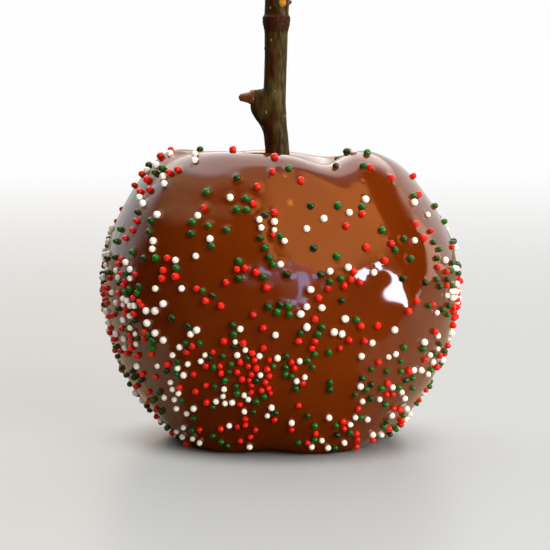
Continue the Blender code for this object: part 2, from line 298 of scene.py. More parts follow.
def coat_normal(angle, azimuth, step=0.05):
    """Outward directions on the coat, from two small steps across it."""
    along = coat_surface(angle + step, azimuth) - coat_surface(angle - step, azimuth)
    around = coat_surface(angle, azimuth + step) - coat_surface(angle, azimuth - step)
    normal = np.cross(along, around)
    return normal / np.linalg.norm(normal, axis=-1, keepdims=True)


CREST_ANGLE = 37.0
crest = max(float(coat_surface(CREST_ANGLE, azimuth)[2]) for azimuth in range(0, 360, 5))
print(f"crown's highest point {crest / MM:.1f} mm")

# %% [markdown]
# ## Marks that the photograph shows
#
# A few things are placed by the pixel where the photograph shows them: the shallow dents that bend the
# reflections, the bubbles, and the pearls of the front. A ray from the camera through the pixel finds the
# spot on the coat. A coarse copy of the surface is enough for that. A pearl on the skyline stands off the
# coat, so for it the ray moves inwards.

# %% From a pixel to the coat
MIDDLE_PIXEL = (280, 300)
INWARD_SHARES = np.arange(0, 0.06, 0.002)  # of the way to the middle, which the ray tries in turn
LOWEST_SPOT = 0.9 * MM  # nothing sticks lower than this, where the coat turns under
BARE_ANGLES, BARE_AZIMUTHS = np.linspace(12, 160, 150), np.arange(0, 360, 2.0)


def bare_coat():
    """A search tree of the coat's surface, for rays."""
    grid = np.meshgrid(BARE_ANGLES, BARE_AZIMUTHS, indexing="ij")
    rows, columns = len(BARE_ANGLES), len(BARE_AZIMUTHS)
    return BVHTree.FromPolygons(coat_surface(*grid).reshape(-1, 3).tolist(), skin_faces(rows, columns))


BARE_COAT = bare_coat()


def spot(x, y):
    """The point on the coat that shows at a pixel of the photograph, and the outward direction there."""
    half = PHOTO_SIDE / 2
    for inward in INWARD_SHARES:
        x_in, y_in = x + inward * (MIDDLE_PIXEL[0] - x), y + inward * (MIDDLE_PIXEL[1] - y)
        way = TURNED @ Vector((x_in + 0.5 - half, half - y_in - 0.5, -FOCAL_PIXELS))
        place, normal, _, _ = BARE_COAT.ray_cast(Vector(CAMERA_PLACE), way.normalized())
        if place is not None and place.z > LOWEST_SPOT:
            return np.array(place), np.array(normal if normal.dot(way) < 0 else -normal)
    raise ValueError(f"no coat at pixel {x}, {y}")


# %% Dents and bubbles
DENTS = (  # x and y in the photograph, radius and depth, which is negative for a bump
    (386.7, 284.3, 2.4 * MM, 0.41 * MM),
    (405.3, 254.8, 4.8 * MM, 0.76 * MM),
    (376.7, 306.4, 4.2 * MM, 0.68 * MM),
    (408.7, 308.1, 2.6 * MM, -0.66 * MM),
    (272, 296, 4.5 * MM, 0.40 * MM),
    (290, 314, 2.6 * MM, -0.30 * MM),
)
BUBBLES = (  # x and y in the photograph, radius and depth
    (290.5, 202, 0.95 * MM, 0.14 * MM),
    (285, 176, 0.40 * MM, 0.08 * MM),
    (362.5, 181, 0.42 * MM, 0.08 * MM),
)
PIT_WIDTH = 0.75  # of a bubble's radius
RIM_AT, RIM_WIDTH, RIM_HEIGHT = 1.15, 0.3, 0.35  # of its radius, and of its depth
DENT_SPOTS = [spot(x, y)[0] for x, y, _, _ in DENTS]
BUBBLE_SPOTS = [spot(x, y)[0] for x, y, _, _ in BUBBLES]


def dent_relief(points):
    """How far the dents move points on the coat, along the outward direction."""
    relief = np.zeros(np.shape(points)[:-1])
    for centre, (_, _, radius, depth) in zip(DENT_SPOTS, DENTS):
        away = np.linalg.norm(points - centre, axis=-1) / radius
        relief -= depth * np.exp(-(away**2) / 2)
    return relief


def bubble_relief(points):
    """Shallow pits with soft rims where air bubbles burst, and how thin the coat is in them."""
    relief = np.zeros(np.shape(points)[:-1])
    thin = np.zeros_like(relief)
    for centre, (_, _, radius, depth) in zip(BUBBLE_SPOTS, BUBBLES):
        away = np.linalg.norm(points - centre, axis=-1) / radius
        pit = np.exp(-((away / PIT_WIDTH) ** 4))
        relief += depth * (RIM_HEIGHT * np.exp(-(((away - RIM_AT) / RIM_WIDTH) ** 2)) - pit)
        thin = np.maximum(thin, pit)
    return relief, thin


print("dents at", [tuple(np.round(place / MM, 1)) for place in DENT_SPOTS])

# %% [markdown]
# ## Where the pearls lie
#
# The cook shakes the pearls on by hand. They land thin near the crown, thick low on the sides, and never
# quite evenly. The pearls of the front are placed one by one, by the pixels where the photograph shows them.
# After them come those that the solid carries too, drawn by the same rule and seed. The rest fill in: most
# land free, and some roll against one that already sticks, which makes pairs, short chains and small heaps.
# A pearl that rolled along often has the colour of its neighbour, because the colours come out of the jar in
# clumps.

# %% Pearls placed one by one
PLACED_PEARLS = {
    "red": (
        (170, 150), (161, 157), (170, 173), (178, 170), (232, 150), (204, 208), (257, 187), (253, 204),
        (274, 213), (274, 158), (272, 172), (300, 181), (369, 168), (390, 178), (345, 226), (361, 214),
        (414, 224), (416, 195), (168, 258), (164, 270), (163, 278), (176, 276), (197, 288), (206, 300),
        (237, 269), (245, 268), (256, 272), (266, 287), (273, 235), (226, 282), (365, 247), (391, 243),
        (384, 260), (353, 271), (350, 279), (343, 285), (359, 282), (327, 288), (318, 297), (413, 300),
        (405, 310), (221, 305), (253, 314), (224, 340), (193, 345), (243, 342), (314, 318), (263, 327),
        (298, 340), (314, 340), (311, 347), (348, 339), (339, 347), (263, 347), (360, 325), (377, 325),
        (363, 340), (187, 351), (168, 363), (213, 351), (206, 365), (220, 365), (194, 373), (221, 372),
        (237, 371), (180, 386), (206, 384), (196, 390), (207, 401), (240, 403), (240, 361), (242, 378),
        (252, 352), (254, 359), (248, 365), (256, 367), (251, 373), (249, 379), (251, 384), (251, 391),
        (269, 359), (267, 368), (269, 375), (265, 381), (268, 387), (261, 389), (270, 392), (274, 418),
        (245, 417), (245, 423), (237, 425), (221, 427), (200, 428), (255, 428), (250, 435), (240, 439),
        (173, 431), (187, 442), (291, 361), (294, 367), (377, 361), (302, 382), (386, 382), (385, 393),
        (391, 393), (298, 404), (357, 407), (392, 407), (398, 408), (342, 420), (343, 427), (387, 427),
        (400, 419), (402, 426), (291, 428), (315, 432), (355, 432), (356, 438), (355, 445), (307, 441),
        (373, 441), (407, 370), (133, 230), (136, 274), (134, 297), (140, 301), (143, 305), (135, 313),
        (145, 331), (130, 334), (145, 338), (132, 340), (132, 347), (138, 355), (152, 353), (143, 373),
        (156, 376), (137, 385), (149, 391), (149, 400), (157, 408), (157, 415), (429, 231), (422, 238),
        (431, 304), (433, 331), (438, 355), (423, 359), (435, 366), (426, 390), (421, 401), (132, 183),
        (140, 172), (148, 180), (150, 190), (141, 192), (137, 221), (414, 174), (126, 238), (122, 259),
        (119, 264), (123, 273), (126, 281), (124, 285), (119, 293), (121, 303), (126, 308), (126, 313),
        (114, 314), (123, 328), (115, 338), (122, 350), (128, 353), (445, 271), (445, 285), (447, 345),
        (447, 354), (436, 267),
    ),
    "green": (
        (199, 150), (163, 169), (156, 173), (237, 178), (207, 192), (246, 199), (237, 210), (247, 210),
        (265, 215), (193, 222), (209, 226), (227, 230), (192, 234), (288, 169), (347, 153), (366, 154),
        (335, 167), (362, 167), (310, 206), (337, 206), (361, 207), (381, 230), (412, 196), (212, 246),
        (260, 238), (265, 248), (269, 257), (273, 264), (239, 261), (239, 278), (203, 290), (213, 295),
        (177, 268), (263, 276), (280, 236), (287, 274), (313, 248), (336, 256), (320, 274), (329, 281),
        (340, 278), (341, 300), (403, 278), (404, 238), (395, 249), (411, 258), (173, 317), (189, 325),
        (233, 324), (234, 333), (186, 342), (200, 342), (268, 306), (280, 304), (288, 305), (277, 311),
        (289, 313), (321, 326), (317, 333), (300, 332), (356, 319), (402, 346), (234, 346), (210, 357),
        (223, 355), (214, 366), (247, 357), (231, 363), (229, 371), (225, 379), (256, 379), (215, 385),
        (236, 385), (237, 392), (273, 365), (286, 355), (285, 366), (285, 373), (264, 395), (256, 400),
        (213, 405), (182, 399), (253, 410), (275, 411), (177, 373), (167, 370), (178, 361), (194, 417),
        (213, 434), (221, 440), (227, 444), (168, 426), (193, 429), (328, 351), (307, 359), (314, 353),
        (312, 366), (291, 375), (295, 387), (370, 368), (361, 377), (370, 383), (365, 388), (354, 393),
        (385, 370), (399, 360), (399, 370), (380, 387), (397, 386), (404, 379), (329, 381), (329, 388),
        (369, 397), (384, 403), (360, 416), (335, 424), (314, 424), (307, 414), (402, 414), (385, 420),
        (382, 425), (349, 431), (336, 433), (314, 438), (298, 441), (334, 446), (395, 428), (389, 433),
        (150, 232), (133, 252), (145, 258), (157, 258), (140, 286), (130, 288), (138, 292), (135, 320),
        (149, 334), (154, 340), (138, 338), (153, 347), (133, 370), (135, 376), (142, 379), (160, 391),
        (154, 399), (162, 410), (145, 406), (159, 423), (432, 242), (438, 249), (435, 258), (424, 282),
        (435, 279), (438, 286), (427, 305), (438, 343), (421, 348), (411, 377), (411, 387), (416, 403),
        (429, 369), (149, 165), (152, 221), (138, 212), (121, 229), (117, 241), (116, 257), (127, 273),
        (120, 283), (126, 292), (119, 308), (128, 329), (117, 346), (116, 356), (120, 368), (127, 374),
        (444, 221), (449, 270), (445, 279), (450, 285), (441, 309), (446, 314), (447, 305), (443, 350),
        (435, 205), (432, 353),
    ),
    "white": (
        (170, 155), (195, 155), (195, 161), (157, 166), (164, 177), (165, 184), (158, 215), (198, 216),
        (230, 198), (259, 220), (261, 228), (274, 222), (274, 230), (353, 152), (364, 200), (348, 213),
        (323, 219), (306, 229), (412, 203), (210, 239), (196, 256), (176, 260), (182, 288), (284, 241),
        (280, 264), (310, 289), (329, 271), (347, 267), (373, 272), (414, 240), (240, 328), (191, 333),
        (197, 329), (235, 341), (180, 346), (306, 306), (300, 313), (321, 307), (344, 318), (306, 326),
        (275, 334), (333, 331), (341, 333), (393, 329), (371, 342), (173, 354), (205, 354), (201, 360),
        (188, 363), (178, 367), (184, 374), (171, 381), (173, 388), (179, 392), (175, 398), (177, 407),
        (194, 407), (187, 412), (184, 426), (177, 430), (183, 435), (193, 437), (200, 441), (237, 354),
        (245, 349), (259, 355), (277, 357), (260, 374), (224, 388), (223, 395), (216, 400), (225, 402),
        (232, 401), (244, 394), (248, 398), (244, 410), (271, 406), (267, 414), (229, 424), (249, 445),
        (299, 360), (304, 376), (296, 380), (360, 355), (387, 356), (394, 353), (359, 385), (391, 386),
        (400, 391), (403, 397), (378, 398), (361, 400), (405, 407), (390, 414), (354, 416), (366, 418),
        (328, 416), (349, 423), (291, 421), (371, 433), (380, 433), (321, 439), (343, 441), (327, 446),
        (311, 445), (407, 421), (154, 241), (153, 249), (156, 288), (164, 303), (147, 310), (156, 310),
        (148, 322), (156, 332), (164, 339), (131, 269), (131, 278), (131, 305), (135, 305), (131, 315),
        (131, 327), (136, 333), (137, 343), (138, 365), (158, 365), (165, 396), (161, 419), (426, 215),
        (435, 312), (436, 335), (422, 341), (436, 348), (428, 354), (431, 361), (412, 369), (419, 369),
        (426, 373), (410, 414), (148, 171), (141, 198), (144, 204), (113, 228), (127, 262), (117, 270),
        (119, 277), (113, 292), (124, 298), (124, 304), (128, 300), (117, 302), (124, 319), (117, 333),
        (125, 338), (126, 347), (443, 260), (445, 295), (449, 291), (443, 360), (428, 396),
    ),
}
PLACED_WINDOW = (112, 450, 450)  # left, right and bottom pixel of the part of the front that they cover
SHOULDER_ROW = 226  # above this pixel row the photograph shows no others, not even on the skyline
SKYLINE = -0.12  # how far past the skyline a pearl still shows, as the cosine to the view
CROWN_LINE = 160  # above this pixel row pearls of the far side would peep over the crown, where none are

# %% Where the other pearls may lie
HIGHEST_PEARL_ANGLE = 28.0
LOWEST_PEARL_ANGLE = 150.0
FIRST_PEARLS = 250
PEARL_SEED = 11
PEARL_DRAWS = 12000
PEARL_RADIUS = 0.93 * MM
PEARL_SHRINK = 0.08 * MM
PEARL_SPACING = 3.2 * MM
PEARL_SUNK = 0.55  # a pearl's centre stands this share of its radius above the chocolate
PEARL_LOWEST = 1.9 * MM
ROOM_SHARE = 0.97  # how near two others may lie, as a share of their radii together
TOUCHING = 0.52  # the most that a placed pearl's radius may be of the way to the next one
OTHER_PEARLS = 780  # besides those placed one by one
ROLLED_SHARE = 0.26  # how many of those rolled against another one
ROLLED_GAP = (1.0, 1.25)  # how far they lie from its centre, as a share of both radii
ROLLED_ANYWHERE = 0.8  # how many of them rolled in any direction, while the rest rolled down
ROLLED_SWING = 0.5  # radians by which the rest swerved
MEAN_REACH = 40 * MM  # from the apple's middle to its coat
HIGHEST_COSINE = 0.9  # of the angle down from straight up, where the others fall
SAME_COLOUR_SHARE = 0.45
UPPER_PEARL = (0.77 * MM, 0.90 * MM)  # radii of the listed pearls high on the front
LOWER_PEARL = (0.66 * MM, 0.80 * MM)  # and of the others
LOWER_ROW = 346  # the pixel row from which they count as low
SIDE_COLUMNS = (138, 425)  # and the pixel columns beyond which they do
FIRST_SHRINK = 0.93  # the solid's pearls are the largest of the real ones
SMALL_PEARL = (0.61 * MM, 0.82 * MM)  # radii of those that fill in
PEARL_STANDS = (0.25, 0.60)  # how high the centres of those stand, as PEARL_SUNK
HEAP_COLOUR_SHARE = 0.8  # how many pearls in a heap have the heap's colour
THICKEST = 6  # how many times thicker than usual the pearls may lie
COLOURS = ("red", "green", "white")
COLOUR_SHARES = (0.38, 0.28, 0.34)
THICKNESS_HEIGHTS = (0, 9, 17, 26, 35, 44, 53, 60, 66)  # mm
THICKNESS = (5, 5.5, 9.5, 11, 9.5, 7.5, 3.6, 2.2, 2.5)  # pearls per square centimetre
THIN_AZIMUTH = 275.0  # the side where the first pearls lie thinnest
THIN_FACING, THIN_HEIGHTS = (0.2, 1.0), (26 * MM, 52 * MM)  # cosines to that side
THINNED = 0.6  # the share of them that is missing there
DENSE_HEIGHTS, TOP_DENSITY = (66 * MM, 30 * MM), 0.45  # below the second height they lie thickest
HOLLOW_EDGE = (17 * MM, 25 * MM)  # none lie inside the first radius


def pearl_density(azimuth, height, radius):
    """How thickly the first pearls lie: thin high on the front, thick low down, none in the hollow."""
    low_side = smooth_step(*DENSE_HEIGHTS, height)
    front = np.cos(np.radians(azimuth - THIN_AZIMUTH))
    bare_front = smooth_step(*THIN_FACING, front) * smooth_step(*THIN_HEIGHTS, height)
    outside_hollow = smooth_step(*HOLLOW_EDGE, radius)
    thick = TOP_DENSITY + (1 - TOP_DENSITY) * low_side
    return outside_hollow * thick * (1 - THINNED * bare_front)


def first_pearls():
    """Angles, azimuths and radii of the pearls that the solid carries."""
    draw = np.random.default_rng(PEARL_SEED)
    angle = draw.uniform(HIGHEST_PEARL_ANGLE, LOWEST_PEARL_ANGLE, PEARL_DRAWS)
    azimuth = draw.uniform(0, 360, PEARL_DRAWS)
    luck = draw.uniform(0, 1, PEARL_DRAWS)
    radius, height = coat_profile(angle)
    step = np.hypot(*np.subtract(coat_profile(angle + 0.1), coat_profile(angle - 0.1)))
    area = radius * step
    chance = area / area.max() * pearl_density(azimuth, height, radius)
    places = coat_surface(angle, azimuth)
    kept = []
    for i in np.flatnonzero(luck < chance):
        if places[i, 2] < PEARL_LOWEST:
            continue
        if kept and np.linalg.norm(places[kept] - places[i], axis=1).min() < PEARL_SPACING:
            continue
        kept.append(i)
        if len(kept) == FIRST_PEARLS:
            break
    sizes = PEARL_RADIUS - PEARL_SHRINK * np.arange(len(kept)) / FIRST_PEARLS
    return angle[kept], azimuth[kept], sizes


FULLER_AZIMUTH = 185.0  # the side on which more pearls fell
HEAPS = 16
HEAP_ANGLES = (70, 125)
HEAP_RADII = (1.8 * MM, 3.6 * MM)
HEAP_THICKNESS = (0.5, 3.5)  # how much thicker the pearls lie in a heap
WAVE_HEIGHT = 11 * MM  # over which the waves of thick and thin turn by one radian
heap_draw = np.random.default_rng(PEARL_SEED + 3)
HEAP_SPOTS = coat_surface(heap_draw.uniform(*HEAP_ANGLES, HEAPS), heap_draw.uniform(0, 360, HEAPS))
HEAP_SIZES = heap_draw.uniform(*HEAP_RADII, HEAPS)
HEAP_EXTRAS = heap_draw.uniform(*HEAP_THICKNESS, HEAPS)
HEAP_HUES = heap_draw.integers(0, len(COLOURS), HEAPS)


def heaped(place):
    """How much each heap adds at a spot."""
    away = np.linalg.norm(HEAP_SPOTS - place, axis=1) / HEAP_SIZES
    return HEAP_EXTRAS * np.exp(-(away**2) / 2)


def crowding(azimuth, place):
    """Waves of thick and thin over the coat, with heaps, as uneven as a hand scatters them."""
    turn, up = np.radians(azimuth), place[2] / WAVE_HEIGHT
    broad = 0.3 * np.sin(5 * turn + 1.7 * up) * np.sin(1.3 * up - 3 * turn + 0.6)
    waves = broad + 0.2 * np.sin(11 * turn - up)
    belt = smooth_step(50 * MM, 42 * MM, place[2]) * smooth_step(12 * MM, 24 * MM, place[2])
    fuller_side = 0.6 * belt * max(math.cos(turn - math.radians(FULLER_AZIMUTH)), 0) ** 2
    return 1 + waves + fuller_side + heaped(place).sum()


def by_hand(place, normal):
    """Whether a spot is where the pearls are placed one by one."""
    left, right, bottom = PLACED_WINDOW
    seen = place - np.array(CAMERA_PLACE)
    x, y, depth = np.array(TURNED.transposed()) @ seen
    x, y = PHOTO_SIDE / 2 - FOCAL_PIXELS * x / depth, PHOTO_SIDE / 2 + FOCAL_PIXELS * y / depth
    if y < SHOULDER_ROW and -(seen @ normal) > SKYLINE * np.linalg.norm(seen):
        return True
    return left < x < right and (y < CROWN_LINE or seen @ normal < 0 and y < bottom)


# %% Scatter the pearls
class Pearls:
    """The pearls so far: their spots on the coat, outward directions, radii and colours."""

    def __init__(self):
        self.spots, self.normals, self.sizes, self.hues = [], [], [], []
        self.angles, self.azimuths = [], []

    def fits(self, place, size):
        """Whether a pearl of this size has room here."""
        if not self.spots:
            return True
        apart = np.linalg.norm(np.array(self.spots) - place, axis=1)
        return bool((apart > ROOM_SHARE * (np.array(self.sizes) + size)).all())

    def stick(self, place, normal, size, hue, angle, azimuth):
        """Adds a pearl."""
        columns = self.spots, self.normals, self.sizes, self.hues, self.angles, self.azimuths
        for column, value in zip(columns, (place, normal, size, hue, angle, azimuth)):
            column.append(value)


def scatter_pearls():
    """The listed pearls, those that the solid carries too, and those that fill in between."""
    pearls = Pearls()
    draw = np.random.default_rng(PEARL_SEED + 1)
    for hue, colour in enumerate(COLOURS):
        for x, y in PLACED_PEARLS[colour]:
            place, normal = spot(x, y)
            away = place - np.array((0, 0, CENTRE_HEIGHT))
            angle = math.degrees(math.acos(away[2] / np.linalg.norm(away)))
            azimuth = math.degrees(math.atan2(away[1], away[0])) % 360
            upper = y < LOWER_ROW and SIDE_COLUMNS[0] < x < SIDE_COLUMNS[1]
            size = draw.uniform(*(UPPER_PEARL if upper else LOWER_PEARL))
            pearls.stick(place, normal, size, hue, angle, azimuth)
    placed = len(pearls.spots)
    apart = np.linalg.norm(np.array(pearls.spots)[:, None] - np.array(pearls.spots), axis=2) + np.eye(placed)
    pearls.sizes = list(np.minimum(pearls.sizes, TOUCHING * apart.min(axis=1)))
    print(placed, "placed, closest two mm", round(apart.min() / MM, 2), "smallest",
        round(min(pearls.sizes) / MM, 2))
    for angle, azimuth, size in zip(*first_pearls()):
        place, normal = coat_surface(angle, azimuth), coat_normal(angle, azimuth)
        hue = draw.choice(len(COLOURS), p=COLOUR_SHARES)
        if not by_hand(place, normal) and pearls.fits(place, size):
            pearls.stick(place, normal, FIRST_SHRINK * size, hue, angle, azimuth)
    while len(pearls.spots) < placed + OTHER_PEARLS:
        size = draw.uniform(*SMALL_PEARL)
        hue = draw.choice(len(COLOURS), p=COLOUR_SHARES)
        if draw.random() < ROLLED_SHARE:
            beside = draw.integers(len(pearls.spots))
            away = (pearls.sizes[beside] + size) * draw.uniform(*ROLLED_GAP)
            anywhere = draw.random() < ROLLED_ANYWHERE
            swing = draw.uniform(-math.pi, math.pi) if anywhere else draw.normal(0, ROLLED_SWING)
            reach, _ = coat_profile(pearls.angles[beside])
            angle = pearls.angles[beside] + math.degrees(away * math.cos(swing) / MEAN_REACH)
            azimuth = pearls.azimuths[beside] + math.degrees(away * math.sin(swing) / reach)
            hue = pearls.hues[beside] if draw.random() < SAME_COLOUR_SHARE else hue
        else:
            angle = math.degrees(math.acos(draw.uniform(-HIGHEST_COSINE, HIGHEST_COSINE)))
            azimuth = draw.uniform(0, 360)
        place, normal = coat_surface(angle, azimuth), coat_normal(angle, azimuth)
        thickness = np.interp(place[2] / MM, THICKNESS_HEIGHTS, THICKNESS) / max(THICKNESS)
        in_hollow = angle < HIGHEST_PEARL_ANGLE or angle > LOWEST_PEARL_ANGLE or place[2] < PEARL_LOWEST
        if in_hollow or draw.random() > thickness * crowding(azimuth, place) / THICKEST:
            continue
        heaps_here = heaped(place)
        if draw.random() < HEAP_COLOUR_SHARE * min(heaps_here.max(), 1):
            hue = HEAP_HUES[heaps_here.argmax()]
        if not by_hand(place, normal) and pearls.fits(place, size):
            pearls.stick(place, normal, size, hue, angle, azimuth)
    return pearls


pearls = scatter_pearls()
pearl_spots, pearl_normals = np.array(pearls.spots), np.array(pearls.normals)
pearl_sizes, pearl_hues = np.array(pearls.sizes), np.array(pearls.hues)
pearl_stands = np.random.default_rng(PEARL_SEED + 2).uniform(*PEARL_STANDS, len(pearl_sizes))
pearl_stands[pearl_sizes > SMALL_PEARL[1]] = PEARL_SUNK
pearl_stands[: sum(map(len, PLACED_PEARLS.values()))] = PEARL_SUNK
pearl_rise = dent_relief(pearl_spots) + pearl_stands * pearl_sizes
pearl_centres = pearl_spots + pearl_normals * pearl_rise[:, None]
lowest = (pearl_centres[:, 2] - pearl_sizes).argmin()
print("lowest pearl", lowest, "at", np.round(pearl_centres[lowest] / MM, 2), "mm")
print(len(pearl_centres), "pearls:", {c: int((pearl_hues == i).sum()) for i, c in enumerate(COLOURS)})

# %% [markdown]
# ## Milk chocolate
#
# Set milk chocolate is cocoa solids, sugar and milk in cocoa butter. Poured and cooled slowly it dries with
# a closed, nearly polished face, so it shows sharp reflections over a deep, warm brown. The colour drifts a
# little where the coat is thinner, and the gloss is broken by a very faint orange peel. Sugar pearls have a
# satin candy shell.

# %% Chocolate material
def new_material(name):
    """A material with its tree, its Principled shader and the place on the object, for patterns."""
    made = bpy.data.materials.new(name)
    made.use_nodes = True
    tree = made.node_tree
    place = add(tree, "TexCoord").outputs["Object"]
    return made, tree, tree.nodes["Principled BSDF"], place


def fine_bump(tree, place, grain, detail, strength, depth):
    """A bump of soft noise with this grain, for the shader's Normal."""
    waves = add(tree, "TexNoise", {"Vector": place, "Scale": 1 / grain, "Detail": detail})
    return add(tree, "Bump", {"Height": waves, "Strength": strength, "Distance": depth})


def colour_ramp(tree, share, stops):
    """A ramp through (position, colour) stops, read at a share from 0 to 1."""
    made = add(tree, "ValToRGB", {"Fac": share})
    ramp = made.color_ramp.elements
    ramp[0].position, ramp[0].color = stops[0][0], paint(stops[0][1])
    ramp[1].position, ramp[1].color = stops[-1][0], paint(stops[-1][1])
    for position, shade in stops[1:-1]:
        ramp.new(position).color = paint(shade)
    return made


def milk_chocolate():
    """Tempered milk chocolate, poured: glossy, smooth, with a soft drift in its brown."""
    made, tree, shader, place = new_material("milk_chocolate")
    drift = add(tree, "TexNoise", {"Vector": place, "Scale": 1 / (26 * MM), "Detail": 2.0})
    brown = colour_ramp(tree, drift, ((0.35, "#5F2103"), (0.68, "#6A2904")))
    thin = add(tree, "Attribute", attribute_name="thin_spot").outputs["Fac"]
    warm = add(tree, "Mix", thin, {6: brown, 7: paint("#A85A20")}, data_type="RGBA").outputs[2]
    peel = fine_bump(tree, place, 3.5 * MM, 1.0, 0.05, 0.4 * MM)
    feed(shader, {"Base Color": warm, "Normal": peel, "Roughness": 0.09, "IOR": 1.5})
    return made


chocolate = milk_chocolate()

# %% [markdown]
# ## The chocolate coat
#
# The coat is one closed skin. Its rows run from the bottom of the hole that the twig made, up along the
# twig, over the small collar of chocolate that clings to it, through the hollow, over the crown and down to
# the foot. Under the foot a soft maximum keeps it on the table.
#
# A real coat is not as even as that rule. A Geometry Nodes tree adds what the rule leaves out: broad and
# fine unevenness, and the small ring of chocolate that each pearl draws up around itself. The tree finds the
# distance to the nearest pearl with Geometry Proximity, which would be slow to do by hand.

# %% Twig's line, which the coat needs for its hole
TWIG_STATIONS = np.array([
    (21.0, 1.2, 0.6, 1.60),
    (27.0, 1.0, 0.5, 2.60),
    (55.0, 0.0, 0.0, 2.85),
    (66.3, -0.7, -0.2, 2.78),
    (76.0, -1.25, -0.3, 2.60),
    (86.0, -1.0, 0.0, 2.54),
    (97.5, -0.75, 0.4, 2.75),
    (114.0, 0.3, 0.9, 2.60),
    (130.0, 1.6, 0.8, 2.45),
    (147.0, 2.5, 0.2, 2.35),
]) * MM  # height, x, y and radius
TWIG_RADIUS = TWIG_STATIONS[2, 3]  # where it leaves the chocolate
CUT_HEIGHT = 142.0 * MM
CUT_TILT = math.radians(38)


def twig_station(height):
    """(x, y, radius) of the twig at a height."""
    return smooth_curve(TWIG_STATIONS[:, 0], TWIG_STATIONS[:, 1:], height)


# %% The coat's rows
COAT_SIDES = 430
HOLLOW_ROWS = np.linspace(7.3, 33, 36)
SIDE_ROWS = np.linspace(33, 150, 160)[1:]
FOOT_ROWS = np.linspace(150, 179.6, 18)[1:]
BORE_GAP = 0.25 * MM
COLLAR_HEIGHT = 1.0 * MM
COLLAR_WIDTH = 0.7 * MM
FOOT_EDGE = 0.35 * MM  # how round the edge of the flat foot is
BORE_ROWS = 12
BORE_TOP = 0.5 * MM  # how far below the coat's edge its last row lies
EVEN_BY_TWIG, EVEN_BY_TABLE = (0.4 * MM, 3 * MM), (0.2 * MM, 3 * MM)  # between these it turns uneven


def coat_mesh():
    """The closed skin of the coat with its masks: where it may be uneven, and where it is thin."""
    azimuths = np.arange(COAT_SIDES) * 360.0 / COAT_SIDES
    angles = np.concatenate((HOLLOW_ROWS, SIDE_ROWS, FOOT_ROWS))
    grid = np.meshgrid(angles, azimuths, indexing="ij")
    skin, normal = coat_surface(*grid), coat_normal(*grid)
    away = np.hypot(skin[..., 0], skin[..., 1]) - TWIG_RADIUS
    collar = COLLAR_HEIGHT * np.exp(-np.maximum(away, 0) / COLLAR_WIDTH)
    relief, thin = bubble_relief(skin)
    skin = skin + normal * (relief + dent_relief(skin))[..., None]
    skin[..., 2] += collar
    uneven = smooth_step(*EVEN_BY_TWIG, away) * smooth_step(*EVEN_BY_TABLE, skin[..., 2])
    skin[..., 2] = (skin[..., 2] + np.sqrt(skin[..., 2] ** 2 + FOOT_EDGE**2)) / 2

    heights = np.linspace(TWIG_STATIONS[0, 0] - BORE_GAP, skin[0, 0, 2] - BORE_TOP, BORE_ROWS)
    turn = np.radians(azimuths)
    bore = []
    for height in heights:
        x, y, radius = twig_station(max(height, TWIG_STATIONS[0, 0]))
        reach = radius + BORE_GAP
        ring = x + reach * np.cos(turn), y + reach * np.sin(turn), np.full(COAT_SIDES, height)
        bore.append(np.stack(ring, -1))
    rows = np.concatenate((np.array(bore), skin))
    still = np.zeros((len(bore), COAT_SIDES))
    uneven, thin = np.concatenate((still, uneven)).ravel(), np.concatenate((still, thin)).ravel()

    points = rows.reshape(-1, 3).tolist()
    points.append(rows[0].mean(axis=0).tolist())
    points.append((0, 0, float(rows[-1, :, 2].min())))
    faces = skin_faces(len(rows), COAT_SIDES, (len(points) - 2, len(points) - 1))
    uneven, thin = (np.append(mask, (0, 0)) for mask in (uneven, thin))
    return mesh_object("chocolate_coat", points, faces, uneven=uneven, thin_spot=thin)


coat = coat_mesh()
count(coat)

# %% The pearls as bare points, for the trees that need them
pearl_points = mesh_object("pearl_points", pearl_centres, [], size=pearl_sizes, hue=pearl_hues)
facing = pearl_points.data.attributes.new("facing", "FLOAT_VECTOR", "POINT")
facing.data.foreach_set("vector", pearl_normals.astype(np.float32).ravel())


# %% Geometry Nodes: the unevenness of a real coat
def uneven_coat_tree():
    """Moves each point along its normal by two sizes of noise and by the nearness of a pearl."""
    tree, given, identifiers = geometry_tree("uneven_coat", pearls="Object", broad_size="Float",
        broad_height="Float", fine_size="Float", fine_height="Float", ring_height="Float",
        ring_start="Float", ring_end="Float", material="Material")
    place = add(tree, "InputPosition")
    normal = add(tree, "InputNormal")
    heights = []
    for size, height, seed in (("Broad size", "Broad height", 3.0), ("Fine size", "Fine height", 8.0)):
        scale = add(tree, "Math DIVIDE", 1.0, given[size])
        waves = add(tree, "TexNoise", {"Vector": place, "Scale": scale, "W": seed, "Detail": 1.0},
            noise_dimensions="4D")
        centred = add(tree, "Math SUBTRACT", waves, 0.5)
        tall = add(tree, "Math MULTIPLY", centred, given[height])
        heights.append(tall)
    both = add(tree, "Math ADD", heights[0], heights[1])
    pearls = add(tree, "ObjectInfo", {"Object": given["Pearls"]})
    near = add(tree, "Proximity", pearls.outputs["Geometry"], target_element="POINTS")
    ring = add(tree, "MapRange", {"Value": near.outputs["Distance"], "From Min": given["Ring start"],
        "From Max": given["Ring end"], "To Min": given["Ring height"], "To Max": 0.0},
        interpolation_type="SMOOTHERSTEP")
    total = add(tree, "Math ADD", both, ring)
    mask = add(tree, "InputNamedAttribute", {"Name": "uneven"}, data_type="FLOAT")
    masked = add(tree, "Math MULTIPLY", total, mask)
    shift = add(tree, "VectorMath SCALE", normal, {"Scale": masked})
    moved = add(tree, "SetPosition", {"Geometry": given[0], "Offset": shift})
    close_tree(tree, moved, given["Material"])
    return tree, identifiers


